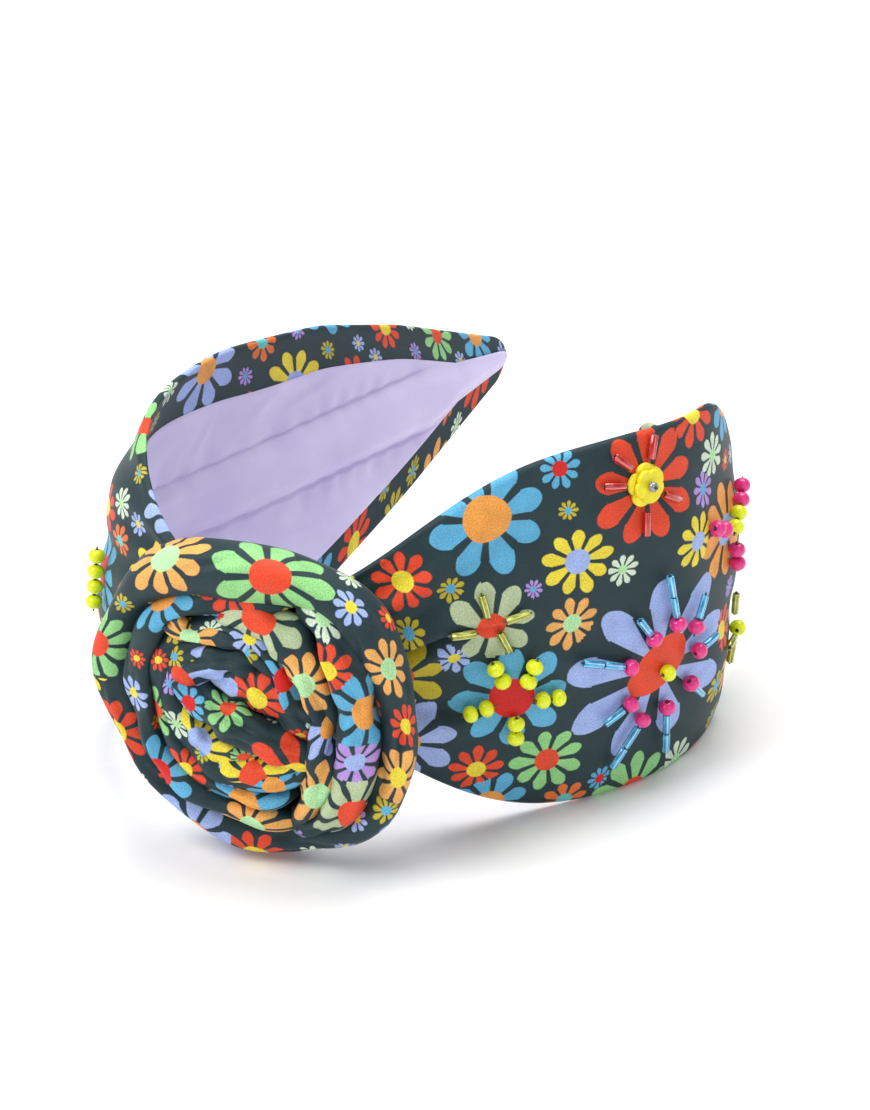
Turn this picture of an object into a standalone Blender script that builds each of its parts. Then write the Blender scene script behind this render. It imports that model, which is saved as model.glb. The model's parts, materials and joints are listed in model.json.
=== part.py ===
"""A wide printed fabric headband with a rosette knot and beaded flowers.

The headband stands on its lower edge: the hoop lies in a level plane, the rosette faces -Y,
and the two arms run towards +Y. Metres, +Z up, origin under the middle of the whole object.
"""

import math

import bmesh
import bpy
import numpy as np
from mathutils import Matrix, Vector

# ---- driving dimensions -------------------------------------------------------------------
HOOP_HEIGHT = 0.045          # the hoop's level above the surface that the headband stands on
NEAR_LENGTH = 0.192          # hoop length from the knot to the near tip
FAR_LENGTH = 0.202           # hoop length from the knot to the far tip
KNOT_HEADING = math.radians(9.7)   # direction of the hoop under the knot, from +X

# Bend of the hoop, in radians per metre, against the distance along it (far arm negative).
HOOP_BENDS = (
    (-0.202, 0.0), (-0.157, -1.5), (-0.118, 0.4), (-0.078, 9.3), (-0.049, 25.0), (-0.020, 27.3),
    (0.020, 13.4), (0.059, 4.5), (0.099, 20.4), (0.138, 17.3), (0.168, 6.2), (0.192, 2.6),
)
# Height of the band above and below the hoop, against the distance from each arm's tip.
NEAR_RISE = ((0.0, 0.0045), (0.025, 0.009), (0.045, 0.019), (0.060, 0.031), (0.075, 0.043), (0.105, 0.046))
NEAR_DROP = ((0.0, 0.0045), (0.022, 0.020), (0.040, 0.036), (0.055, 0.0435), (0.068, 0.045), (0.110, 0.045))
FAR_RISE = ((0.0, 0.0045), (0.022, 0.014), (0.045, 0.024), (0.075, 0.034), (0.110, 0.0395), (0.150, 0.040))
FAR_DROP = ((0.0, 0.0045), (0.022, 0.014), (0.045, 0.0245), (0.075, 0.037), (0.100, 0.045), (0.150, 0.045))
PINCH_HALF = 0.0135          # half height of the band where the knot gathers it
PINCH_END = 0.100            # distance along the hoop where the gathering ends
PINCH_FALL = 5.8             # how fast it fades towards that end

FAR_BULGE = 0.012            # how far the far arm's lower part stands out near the knot
BULGE_MIDDLE = -0.062        # where along the hoop it stands out most
BULGE_REACH = 0.024
CROWN_RATIO = 0.055          # outward bulge of the band's middle, as a share of its height
COVER_OUT = 0.0021           # cover's outer face, outward from the crowned mid surface
CLOTH = 0.0006               # thickness of cover and lining
GAP = 0.0003                 # clearance between neighbouring layers
INNER_FACE = -0.0015         # lining's inner face away from the hoop channel
FLAP = 0.009                 # width of the cover turned over each edge
HOOP_THICK = 0.0015
HOOP_HALF = 0.006            # half the hoop's width
CHANNEL_FACE = -0.0033       # lining's inner face over the hoop channel
SEAM = 0.031                 # where each arm's layers begin, along the hoop from the knot
SEAM_GAP = 0.0005            # half of the gap at that seam
FLEX_AXIS = 0.0035           # outward distance from the crowned surface of an arm's flex axis
TIP_CAP = 0.008              # length of the folded fabric end
TIP_HALF = 0.0042            # half its height
TIP_THICK = 0.0019           # half its thickness
HOOP_END = 0.004             # how far the hoop reaches into it

ROSETTE_WIDTH = 0.0755
ROSETTE_HEIGHT = 0.080
ROSETTE_LEVEL = 0.0402       # height of the rosette's middle
ROSETTE_SIDE = 0.0028        # its middle's distance from the knot point, towards the near arm
ROSETTE_BACK = 0.0050        # back of its stiff base, outward from the hoop
# The rolls from the outside inwards: name, half width, half thickness, level of the middle.
ROSETTE_ROLLS = (
    ("rosette_outer_roll", 0.0080, 0.0105, 0.0065),
    ("rosette_second_roll", 0.0032, 0.0085, 0.0112),
    ("rosette_third_roll", 0.0028, 0.0089, 0.0116),
    ("rosette_inner_roll", 0.0022, 0.0087, 0.0114),
)
ROLL_SEGMENTS = 30
ROLL_SIDES = 8
DISC_WIDTH = 0.0200          # half sizes of the stiff backing
DISC_HEIGHT = 0.0212
DISC_THICK = 0.0022
HEART_WIDTH = 0.0037         # half sizes of the twisted fold at the rosette's middle
HEART_HEIGHT = 0.0055

BEAD = 0.0020                # radius of a round bead
BEAD_SHARE = 0.85            # a round bead's length, as a share of its width
BEAD_SPACE = 0.0004          # thread showing between two beads
BUGLE = 0.0009               # radius of a bugle bead
BUGLE_LENGTH = 0.0055
THREAD = 0.00045             # radius of the thread that a string of beads is sewn on
SEED = 0.0012                # radius of the seed bead on the button
BEAD_SIDES = 6
ROUND_PROFILE = ((0.0, 0.5), (0.28, 0.95), (0.72, 0.95), (1.0, 0.5))   # (share of length, of radius)
BUTTON_PETALS = 5
BUTTON_REACH = 0.0051
BUTTON_THICK = 0.0010
BUTTON_MIDDLE = (0.0872, 0.0343)   # along the hoop from the knot, and up from the hoop

# Beaded motifs: name, middle as (along the hoop, up from it), bead kind, and the strings, each as
# ((angle, distance) of its start from the middle, direction in degrees, beads).
PAIR = ("round", "round")
ROOT_AND_ONE = ("round", "bugle")
ROOT_AND_TWO = ("round", "bugle", "bugle")
BUGLE_ALONE = ("bugle",)
BEAD_MOTIFS = (
    ("button_bugle", BUTTON_MIDDLE, "red", (
        ((70, 0.0056), 70, BUGLE_ALONE), ((125, 0.0060), 138, BUGLE_ALONE), ((165, 0.0056), 168, BUGLE_ALONE),
        ((-96, 0.0060), -95, BUGLE_ALONE), ((-39, 0.0056), -32, BUGLE_ALONE))),
    ("sage_bugle", (0.0500, 0.0090), "olive", (
        ((110, 0.0024), 103, BUGLE_ALONE), ((18, 0.0030), 12, BUGLE_ALONE), ((-50, 0.0030), -66, BUGLE_ALONE),
        ((-160, 0.0036), -178, BUGLE_ALONE))),
    ("sky_pair", (0.0548, -0.0105), "neon", (
        ((114, 0.0042), 116, PAIR), ((58, 0.0040), 68, PAIR), ((-8, 0.0046), -2, PAIR),
        ((-84, 0.0042), -90, PAIR), ((-165, 0.0042), -165, PAIR))),
    ("aster_string", (0.0905, -0.0120), "blue", (
        ((69, 0.0095), 102, ROOT_AND_TWO), ((37, 0.0095), 66, ROOT_AND_ONE), ((0, 0.0080), 6, ROOT_AND_ONE),
        ((-43, 0.0095), -46, ROOT_AND_ONE), ((-79, 0.0100), -82, ROOT_AND_TWO),
        ((-108, 0.0110), -122, ROOT_AND_TWO), ((-137, 0.0085), -153, ROOT_AND_ONE),
        ((156, 0.0070), 160, ROOT_AND_TWO), ((103, 0.0075), 125, ROOT_AND_ONE))),
    ("aster_heart_bead", (0.0895, -0.0132), "neon", (((0, 0.0), 0, ("round",)),)),
    ("amber_string", (0.1158, 0.0120), "pink", (
        ((35, 0.0050), 35, PAIR), ((-82, 0.0046), -82, PAIR), ((155, 0.0050), 155, PAIR))),
    ("amber_heart_pair", (0.1140, 0.0112), "neon", (((0, 0.0), 35, PAIR),)),
    ("poppy_string", (0.1255, -0.0200), "olive", (
        ((95, 0.0040), 95, BUGLE_ALONE), ((-90, 0.0040), -90, BUGLE_ALONE),
        ((180, 0.0040), 180, BUGLE_ALONE))),
    ("poppy_heart_bead", (0.1238, -0.0200), "neon", (((0, 0.0), 0, ("round",)),)),
    ("far_string", (-0.0470, 0.0080), "neon", (((0, 0.0), -86, PAIR + PAIR),)),
)

STEP = 0.0005                # integration step along the hoop
ARM_STATIONS = 27            # sections along each arm's layers
CROWN_STATIONS = 13
HOOP_STATIONS = 72


# ---- scene --------------------------------------------------------------------------------
def clear_scene():
    for obj in list(bpy.data.objects):
        bpy.data.objects.remove(obj, do_unlink=True)


def material(name, colour, roughness, metallic=0.0):
    found = bpy.data.materials.get(name)
    if found:
        return found
    made = bpy.data.materials.new(name)
    made.use_nodes = True
    shader = made.node_tree.nodes["Principled BSDF"]
    shader.inputs["Base Color"].default_value = (*colour, 1.0)
    shader.inputs["Roughness"].default_value = roughness
    shader.inputs["Metallic"].default_value = metallic
    made.diffuse_color = (*colour, 1.0)
    return made


def add_empty(name, location, parent=None):
    empty = bpy.data.objects.new(name, None)
    bpy.context.scene.collection.objects.link(empty)
    empty.location = location
    empty.parent = parent
    return empty


def add_object(name, mesh_maker, finish, parent):
    """A node whose origin is its parent's, made from a mesh modelled in the headband's frame."""
    mesh = bpy.data.meshes.new(name)
    bm = bmesh.new()
    mesh_maker(bm)
    if bm.calc_volume(signed=True) < 0:
        bmesh.ops.reverse_faces(bm, faces=bm.faces)
    bm.to_mesh(mesh)
    bm.free()
    mesh.transform(Matrix.Translation(-parent.location))
    mesh.materials.append(finish)
    mesh.shade_smooth()
    mesh.set_sharp_from_angle(angle=math.radians(40))
    obj = bpy.data.objects.new(name, mesh)
    bpy.context.scene.collection.objects.link(obj)
    obj.parent = parent
    return obj


# ---- the hoop's curve ---------------------------------------------------------------------
def hoop_curve():
    """Distances, points and headings along the level centre line of the hoop."""
    distance = np.arange(-FAR_LENGTH, NEAR_LENGTH + STEP / 2, STEP)
    stations, bends = zip(*HOOP_BENDS)
    bend = np.interp(distance, stations, bends)
    turn = np.concatenate([[0.0], np.cumsum((bend[1:] + bend[:-1]) / 2 * STEP)])
    start = int(round(FAR_LENGTH / STEP))
    heading = turn - turn[start] + KNOT_HEADING
    steps = np.stack([np.cos(heading), np.sin(heading)], axis=1) * STEP
    points = np.concatenate([[[0.0, 0.0]], np.cumsum((steps[1:] + steps[:-1]) / 2, axis=0)])
    return distance, points - points[start], heading


HOOP = hoop_curve()


def hoop_at(along):
    """(point, outward normal, tangent) of the hoop's centre line, all level."""
    distance, points, heading = HOOP
    x = np.interp(along, distance, points[:, 0])
    y = np.interp(along, distance, points[:, 1])
    angle = np.interp(along, distance, heading)
    tangent = Vector((math.cos(angle), math.sin(angle), 0.0))
    normal = Vector((math.sin(angle), -math.cos(angle), 0.0))
    return Vector((x, y, HOOP_HEIGHT)), normal, tangent


def half_height(along, above):
    """Height of the band's edge above (or below) the hoop."""
    near = along >= 0
    tip = (NEAR_LENGTH - along) if near else (along + FAR_LENGTH)
    table = (NEAR_RISE if above else NEAR_DROP) if near else (FAR_RISE if above else FAR_DROP)
    stations, heights = zip(*table)
    free = float(np.interp(tip, stations, heights))
    gather = max(0.0, 1.0 - (along / PINCH_END) ** 2) ** PINCH_FALL
    return free * (1 - gather) + PINCH_HALF * gather


def place(along, across, outward):
    """World point of the band: across is height from the hoop, outward is from the crowned surface."""
    rise, drop = half_height(along, True), half_height(along, False)
    centre, half = (rise - drop) / 2, (rise + drop) / 2
    share = (across - centre) / half
    crown = CROWN_RATIO * 2 * half * (1 - share * share)
    spread = math.exp(-(((along - BULGE_MIDDLE) / BULGE_REACH) ** 2))
    bulge = FAR_BULGE * spread * (1 - ((1 + share) / 2) ** 2)
    point, normal, _ = hoop_at(along)
    return point + normal * (outward + crown + bulge) + Vector((0.0, 0.0, across))


# ---- lofted layers ------------------------------------------------------------------------
def join_rings(bm, made):
    for first, second in made:
        for index in range(len(first)):
            after = (index + 1) % len(first)
            bm.faces.new((first[index], first[after], second[after], second[index]))


def close_end(bm, ring):
    """Closes a ring whose second half runs back beside its first half, with a strip of quads."""
    last = len(ring) - 1
    for index in range(len(ring) // 2 - 1):
        bm.faces.new((ring[index], ring[index + 1], ring[last - index - 1], ring[last - index]))


def loft(bm, rings):
    """A closed skin through rings of equal size."""
    made = [[bm.verts.new(point) for point in ring] for ring in rings]
    join_rings(bm, zip(made, made[1:]))
    close_end(bm, list(reversed(made[0])))
    close_end(bm, made[-1])


def stations_between(start, end, count):
    return [start + (end - start) * index / (count - 1) for index in range(count)]


def across_at(along, share):
    """Height from the hoop at a share of the band, from -1 at its lower edge to 1 at its upper edge."""
    rise, drop = half_height(along, True), half_height(along, False)
    return (rise - drop) / 2 + share * (rise + drop) / 2


def flap_width(along):
    return min(FLAP, 0.24 * min(half_height(along, True), half_height(along, False)))


def hoop_half(along):
    return min(HOOP_HALF, 0.44 * min(half_height(along, True), half_height(along, False)))


def cover_ring(along, points=9):
    """C-shaped section, from the lower flap's edge round the outside to the upper flap's and back."""
    low, high = across_at(along, -1.0), across_at(along, 1.0)
    flap = flap_width(along)
    skin = CLOTH
    outer = [(low + (high - low) * i / (points - 1), COVER_OUT) for i in range(points)]
    inner_low, inner_high = low + skin, high - skin
    lower_edge = [(low + flap, INNER_FACE), (low, INNER_FACE)]
    upper_edge = [(high, INNER_FACE), (high - flap, INNER_FACE), (high - flap, INNER_FACE + skin),
                  (inner_high, INNER_FACE + skin)]
    inner = [(inner_high + (inner_low - inner_high) * i / (points - 1), COVER_OUT - skin)
             for i in range(points)]
    back = [(inner_low, INNER_FACE + skin), (low + flap, INNER_FACE + skin)]
    section = lower_edge + outer + upper_edge + inner + back
    return [place(along, across, outward) for across, outward in section]


def padding_ring(along, points=9):
    low, high = across_at(along, -1.0) + CLOTH + GAP, across_at(along, 1.0) - CLOTH - GAP
    top, bottom = COVER_OUT - CLOTH - GAP, INNER_FACE + CLOTH + GAP
    outer = [(low + (high - low) * i / (points - 1), top) for i in range(points)]
    inner = [(high + (low - high) * i / (points - 1), bottom) for i in range(points)]
    return [place(along, across, outward) for across, outward in outer + inner]


def lining_ring(along):
    """Section between the two flaps, raised into a channel over the hoop."""
    flap = flap_width(along) + GAP
    low, high = across_at(along, -1.0) + flap, across_at(along, 1.0) - flap
    core = hoop_half(along)
    wall = core + GAP
    foot = wall + min(0.004, 0.45 * (min(high, -low) - wall))
    face = ((high, INNER_FACE), (foot, INNER_FACE), (wall, CHANNEL_FACE), (-wall, CHANNEL_FACE),
            (-foot, INNER_FACE), (low, INNER_FACE))
    back = (
        (low, INNER_FACE + CLOTH), (-foot - CLOTH * 0.2, INNER_FACE + CLOTH), (-wall, CHANNEL_FACE + CLOTH),
        (wall, CHANNEL_FACE + CLOTH), (foot + CLOTH * 0.2, INNER_FACE + CLOTH), (high, INNER_FACE + CLOTH),
    )
    return [place(along, across, outward) for across, outward in face + back]


def hoop_ring(along):
    half = hoop_half(along)
    top = INNER_FACE + CLOTH
    section = ((-half, top), (half, top), (half, top - HOOP_THICK), (-half, top - HOOP_THICK))
    return [place(along, across, outward) for across, outward in section]


def band_layer(name, ring, start, end, count, finish, frame):
    rings = [ring(along) for along in stations_between(start, end, count)]
    return add_object(name, lambda bm: loft(bm, rings), finish, frame)


def make_band(frame, pivots):
    print_cloth = material("print_satin", (0.035, 0.06, 0.065), 0.5)
    lavender = material("lavender_satin", (0.62, 0.55, 0.82), 0.55)
    foam = material("white_foam", (0.9, 0.9, 0.88), 0.9)
    plastic = material("hoop_plastic", (0.85, 0.85, 0.82), 0.4)
    near_end, far_end = NEAR_LENGTH - TIP_CAP, FAR_LENGTH - TIP_CAP
    seam = SEAM + SEAM_GAP
    for arm, start, end in (("near_arm", seam, near_end), ("far_arm", -seam, -far_end)):
        pivot = pivots[arm]
        band_layer(arm + "_cover", cover_ring, start, end, ARM_STATIONS, print_cloth, pivot)
        band_layer(arm + "_padding", padding_ring, start, end, ARM_STATIONS, foam, pivot)
        band_layer(arm + "_lining", lining_ring, start, end, ARM_STATIONS, lavender, pivot)
    crown = SEAM - SEAM_GAP
    band_layer("crown_cover", cover_ring, -crown, crown, CROWN_STATIONS, print_cloth, frame)
    band_layer("crown_padding", padding_ring, -crown, crown, CROWN_STATIONS, foam, frame)
    band_layer("crown_lining", lining_ring, -crown, crown, CROWN_STATIONS, lavender, frame)
    start, end = -far_end - HOOP_END, near_end + HOOP_END
    band_layer("hoop_core", hoop_ring, start, end, HOOP_STATIONS, plastic, frame)


def tip_cap(bm, along, end):
    """A folded fabric end: a short block with a pocket for the hoop's end."""
    inner, pocket = hoop_half(along) + GAP, HOOP_THICK / 2 + GAP
    middle = INNER_FACE + CLOTH - HOOP_THICK / 2
    mouth = along + math.copysign(GAP, end - along)
    floor = along + math.copysign(HOOP_END + 3 * GAP, end - along)

    def ring(station, half, depth):
        corners = ((-half, depth), (half, depth), (half, -depth), (-half, -depth))
        return [place(station, across, middle + outward) for across, outward in corners]

    rings = [ring(floor, inner, pocket), ring(mouth, inner, pocket), ring(mouth, TIP_HALF, TIP_THICK),
             ring((floor + end) / 2, TIP_HALF, TIP_THICK), ring(end, TIP_HALF * 0.72, TIP_THICK * 0.6)]
    loft(bm, rings)


def make_tips(pivots):
    cloth = material("print_satin", (0.035, 0.06, 0.065), 0.5)
    for arm, end in (("near_arm", NEAR_LENGTH), ("far_arm", -FAR_LENGTH)):
        along = end - math.copysign(TIP_CAP, end)
        name = arm.replace("arm", "tip_cap")
        add_object(name, lambda bm, a=along, e=end: tip_cap(bm, a, e), cloth, pivots[arm])


# ---- rosette ------------------------------------------------------------------------------
def rosette_frame():
    """Matrix whose X and Y span the rosette's face and whose Z points outward along its axis."""
    point, normal, tangent = hoop_at(0.0)
    origin = point + normal * ROSETTE_BACK + tangent * ROSETTE_SIDE
    origin.z = ROSETTE_LEVEL
    up = Vector((0.0, 0.0, 1.0))
    turn = Matrix((tangent, up, normal)).transposed().to_4x4()
    return Matrix.Translation(origin) @ turn


def roll_ring(bm, radius_x, radius_y, tube, thick, level):
    """A closed roll of fabric lying in the rosette's face, its middle at this level."""
    frame = rosette_frame()
    rings = []
    for step in range(ROLL_SEGMENTS):
        angle = 2 * math.pi * step / ROLL_SEGMENTS
        middle = Vector((radius_x * math.cos(angle), radius_y * math.sin(angle), level))
        outward = Vector((math.cos(angle), math.sin(angle), 0.0))
        ring = []
        for side in range(ROLL_SIDES):
            around = 2 * math.pi * side / ROLL_SIDES
            offset = outward * (tube * math.cos(around)) + Vector((0, 0, thick * math.sin(around)))
            ring.append(bm.verts.new(frame @ (middle + offset)))
        rings.append(ring)
    join_rings(bm, zip(rings, rings[1:] + rings[:1]))


def rosette_disc(bm):
    """Stiff oval backing that the rolls are sewn to."""
    frame = rosette_frame()
    levels = ((0.0, 0.96), (DISC_THICK / 2, 1.0), (DISC_THICK, 0.96))
    rings = []
    for height, scale in levels:
        ring = []
        for step in range(28):
            angle = 2 * math.pi * step / 28
            across, up = DISC_WIDTH * scale * math.cos(angle), DISC_HEIGHT * scale * math.sin(angle)
            ring.append(frame @ Vector((across, up, height)))
        rings.append(ring)
    loft(bm, rings)


def rosette_heart(bm):
    """The twisted fold at the middle, a closed bud."""
    frame = rosette_frame()
    rings = []
    for height, scale in ((0.0028, 0.75), (0.010, 1.0), (0.017, 0.86), (0.0215, 0.45)):
        ring = []
        for step in range(14):
            angle = 2 * math.pi * step / 14
            across, up = HEART_WIDTH * scale * math.cos(angle), HEART_HEIGHT * scale * math.sin(angle)
            ring.append(frame @ Vector((across, up, height)))
        rings.append(ring)
    loft(bm, rings)


def make_rosette(frame):
    cloth = material("print_satin", (0.035, 0.06, 0.065), 0.5)
    felt = material("backing_felt", (0.08, 0.1, 0.11), 0.9)
    add_object("rosette_base", rosette_disc, felt, frame)
    half_width, half_height_of_face = ROSETTE_WIDTH / 2, ROSETTE_HEIGHT / 2
    for name, tube, thick, level in ROSETTE_ROLLS:
        across, up = half_width - tube, half_height_of_face - tube
        add_object(name, lambda bm, a=across, b=up, t=tube, s=thick, h=level: roll_ring(bm, a, b, t, s, h),
                   cloth, frame)
        half_width = half_width - 2 * tube - GAP
        half_height_of_face = half_height_of_face - 2 * tube - GAP
    add_object("rosette_heart", rosette_heart, cloth, frame)


# ---- beadwork -----------------------------------------------------------------------------
def surface_frame(along, across, angle):
    """Matrix on the cover's outer face: X along a string at this angle, Z outward."""
    point = place(along, across, COVER_OUT)
    run = (place(along + STEP, across, COVER_OUT) - point).normalized()
    rise = (place(along, across + STEP, COVER_OUT) - point).normalized()
    outward = run.cross(rise).normalized()
    rise = outward.cross(run)
    ahead = run * math.cos(angle) + rise * math.sin(angle)
    side = outward.cross(ahead)
    return Matrix.Translation(point) @ Matrix((ahead, side, outward)).transposed().to_4x4()


def string_profile(beads):
    """(position, radius) pairs along a string of round and bugle beads, and the string's length."""
    profile = []
    start = 0.0
    for bead in beads:
        if bead == "round":
            length = 2 * BEAD * BEAD_SHARE
            profile += [(start + length * share, BEAD * scale) for share, scale in ROUND_PROFILE]
        else:
            length = BUGLE_LENGTH
            profile += [(start, BUGLE), (start + length, BUGLE)]
        start += length
        profile += [(start + BEAD_SPACE / 4, THREAD), (start + 3 * BEAD_SPACE / 4, THREAD)]
        start += BEAD_SPACE
    return profile[:-2], start - BEAD_SPACE


def bead_string(bm, where, beads):
    """A string of beads laid on the cover, its middle touching."""
    profile, length = string_profile(beads)
    lift = max(radius for _, radius in profile) + GAP
    rings = []
    for position, radius in profile:
        ring = []
        for side in range(BEAD_SIDES):
            around = 2 * math.pi * side / BEAD_SIDES
            across, up = radius * math.cos(around), lift + radius * math.sin(around)
            ring.append(where @ Vector((position - length / 2, across, up)))
        rings.append(ring)
    loft(bm, rings)


def add_string(name, middle, start, run, beads, finish, frame):
    """One string: start is (angle, distance) from the motif's middle, run its direction in degrees."""
    length = string_profile(beads)[1]
    begin, ahead = math.radians(start[0]), math.radians(run)
    along = middle[0] + start[1] * math.cos(begin) + length / 2 * math.cos(ahead)
    across = middle[1] + start[1] * math.sin(begin) + length / 2 * math.sin(ahead)
    where = surface_frame(along, across, ahead)
    return add_object(name, lambda bm: bead_string(bm, where, beads), finish, frame)


def flower_button(bm, where, reach, low, high):
    """A pressed button with five rounded petals."""
    rings = []
    count = BUTTON_PETALS * 6
    middle = (low + high) / 2
    levels = ((low, 0.25, 0.0), (low, 0.93, 0.2), (middle, 1.0, 0.2), (high, 0.9, 0.2), (high, 0.25, 0.0))
    for height, scale, notch in levels:
        ring = []
        for step in range(count):
            angle = 2 * math.pi * step / count
            lobe = abs(math.cos(BUTTON_PETALS * angle / 2)) ** 0.6
            radius = reach * scale * (1.0 - notch * (1.0 - lobe))
            ring.append(where @ Vector((radius * math.cos(angle), radius * math.sin(angle), height)))
        rings.append(ring)
    loft(bm, rings)


def seed_bead(bm, where, level):
    matrix = where @ Matrix.Translation((0.0, 0.0, level + SEED))
    bmesh.ops.create_icosphere(bm, subdivisions=2, radius=SEED, matrix=matrix)


def make_button(frame):
    yellow = material("yellow_button", (0.9, 0.8, 0.05), 0.35)
    grey = material("grey_bead", (0.45, 0.45, 0.47), 0.3, 0.6)
    where = surface_frame(BUTTON_MIDDLE[0], BUTTON_MIDDLE[1], math.radians(18))
    top = GAP + BUTTON_THICK
    upper_top = top + GAP + BUTTON_THICK
    add_object("button_lower", lambda bm: flower_button(bm, where, BUTTON_REACH, GAP, top), yellow, frame)
    add_object("button_upper", lambda bm: flower_button(bm, where, BUTTON_REACH * 0.66, top + GAP, upper_top),
               yellow, frame)
    add_object("button_seed_bead", lambda bm: seed_bead(bm, where, upper_top + GAP), grey, frame)


def bead_material(kind):
    colours = {
        "pink": ((0.9, 0.08, 0.3), 0.3), "neon": ((0.85, 0.9, 0.05), 0.3), "blue": ((0.03, 0.36, 0.72), 0.15),
        "red": ((0.5, 0.02, 0.03), 0.15), "olive": ((0.35, 0.4, 0.08), 0.15),
    }
    colour, roughness = colours[kind]
    return material(kind + "_beads", colour, roughness)


def make_beadwork(pivots):
    make_button(pivots["near_arm"])
    for motif, middle, kind, strings in BEAD_MOTIFS:
        pivot = pivots["near_arm" if middle[0] > 0 else "far_arm"]
        for number, (start, run, beads) in enumerate(strings, start=1):
            name = f"{motif}_{number}" if len(strings) > 1 else motif
            add_string(name, middle, start, run, beads, bead_material(kind), pivot)


# ---- assembly -----------------------------------------------------------------------------
def centre_on_origin(frame):
    """Moves the whole object so that the middle of its box is over the origin."""
    bpy.context.view_layer.update()
    corners = []
    for obj in frame.children_recursive:
        if obj.type == "MESH":
            corners += [obj.matrix_world @ vertex.co for vertex in obj.data.vertices]
    for axis in (0, 1):
        values = [corner[axis] for corner in corners]
        frame.location[axis] = -(min(values) + max(values)) / 2
    frame.location[2] = -min(corner[2] for corner in corners)
    bpy.context.view_layer.update()


def make_pivots(frame):
    """The upright axes, one at each end of the crown, that the arms flex about."""
    pivots = {}
    for arm, along in (("near_arm", SEAM), ("far_arm", -SEAM)):
        pivots[arm] = add_empty(arm + "_pivot", place(along, 0.0, FLEX_AXIS), frame)
    return pivots


def main():
    clear_scene()
    frame = add_empty("headband_frame", (0.0, 0.0, 0.0))
    pivots = make_pivots(frame)
    make_band(frame, pivots)
    make_tips(pivots)
    make_rosette(frame)
    make_beadwork(pivots)
    centre_on_origin(frame)


main()
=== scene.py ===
"""Looks of the knotted headband: printed satin, lavender lining, rosette and beadwork.

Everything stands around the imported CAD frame, in metres, +Z up. The band's curve and outline
formulas are the CAD part's own, so that each piece lies where its solid is.
"""

import json
import math

import bmesh
import bpy
import numpy as np
from mathutils import Matrix, Vector


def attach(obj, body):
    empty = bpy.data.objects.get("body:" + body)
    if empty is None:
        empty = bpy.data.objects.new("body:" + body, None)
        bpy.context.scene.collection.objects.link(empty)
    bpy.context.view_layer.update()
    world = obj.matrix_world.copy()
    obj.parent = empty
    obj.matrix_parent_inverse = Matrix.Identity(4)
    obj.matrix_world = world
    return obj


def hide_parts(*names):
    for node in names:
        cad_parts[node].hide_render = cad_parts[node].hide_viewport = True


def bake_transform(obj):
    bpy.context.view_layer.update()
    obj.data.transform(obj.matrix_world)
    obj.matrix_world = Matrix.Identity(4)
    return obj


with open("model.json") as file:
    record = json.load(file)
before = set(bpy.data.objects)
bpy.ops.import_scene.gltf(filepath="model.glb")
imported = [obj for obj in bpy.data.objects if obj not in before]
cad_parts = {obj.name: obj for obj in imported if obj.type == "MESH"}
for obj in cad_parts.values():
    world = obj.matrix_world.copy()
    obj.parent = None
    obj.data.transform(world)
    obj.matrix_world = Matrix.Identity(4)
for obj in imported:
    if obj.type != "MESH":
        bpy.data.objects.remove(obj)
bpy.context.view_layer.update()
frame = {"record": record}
BRANCHES = {joint["child"]: joint for joint in frame["record"]["behaviour"]["joints"]}
MM = 0.001

# ---- the band's dimensions, as in the CAD part ----
HOOP_HEIGHT = 0.045
NEAR_LENGTH = 0.192
FAR_LENGTH = 0.202
KNOT_HEADING = math.radians(9.7)
# The hoop's curvature in 1/m at distances from the knot.
HOOP_BENDS = (
    (-0.202, 0.0), (-0.157, -1.5), (-0.118, 0.4), (-0.078, 9.3), (-0.049, 25.0), (-0.020, 27.3),
    (0.020, 13.4), (0.059, 4.5), (0.099, 20.4), (0.138, 17.3), (0.168, 6.2), (0.192, 2.6),
)
# Height of the band's edges above and below the hoop, at distances from each tip.
NEAR_RISE = ((0.0, 0.0045), (0.025, 0.009), (0.045, 0.019), (0.060, 0.031), (0.075, 0.043), (0.105, 0.046))
NEAR_DROP = ((0.0, 0.0045), (0.022, 0.020), (0.040, 0.036), (0.055, 0.0435), (0.068, 0.045), (0.110, 0.045))
FAR_RISE = ((0.0, 0.0045), (0.022, 0.014), (0.045, 0.024), (0.075, 0.034), (0.110, 0.0395), (0.150, 0.040))
FAR_DROP = ((0.0, 0.0045), (0.022, 0.014), (0.045, 0.0245), (0.075, 0.037), (0.100, 0.045), (0.150, 0.045))
PINCH_HALF = 0.0135
PINCH_END = 0.100
PINCH_FALL = 5.8
FAR_BULGE = 0.012
BULGE_MIDDLE = -0.062
BULGE_REACH = 0.024
CROWN_RATIO = 0.055
COVER_OUT = 0.0021
SEAM = 0.031
FLEX_AXIS = 0.0035
ROSETTE_LEVEL = 0.0402
ROSETTE_SIDE = 0.0028
ROSETTE_BACK = 0.0050
STEP = 0.0005
ROUNDING = 0.009             # how far an outline's corners are rounded


# ---- the band's surface ----
def hoop_curve():
    """Distances, points and headings along the hoop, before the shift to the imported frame."""
    distance = np.arange(-FAR_LENGTH, NEAR_LENGTH + STEP / 2, STEP)
    stations, bends = zip(*HOOP_BENDS)
    bend = np.interp(distance, stations, bends)
    turn = np.concatenate([[0.0], np.cumsum((bend[1:] + bend[:-1]) / 2 * STEP)])
    start = int(round(FAR_LENGTH / STEP))
    heading = turn - turn[start] + KNOT_HEADING
    steps = np.stack([np.cos(heading), np.sin(heading)], axis=1) * STEP
    points = np.concatenate([[[0.0, 0.0]], np.cumsum((steps[1:] + steps[:-1]) / 2, axis=0)])
    return distance, points - points[start], heading


HOOP = hoop_curve()
OFFSET = np.zeros(3)


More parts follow.
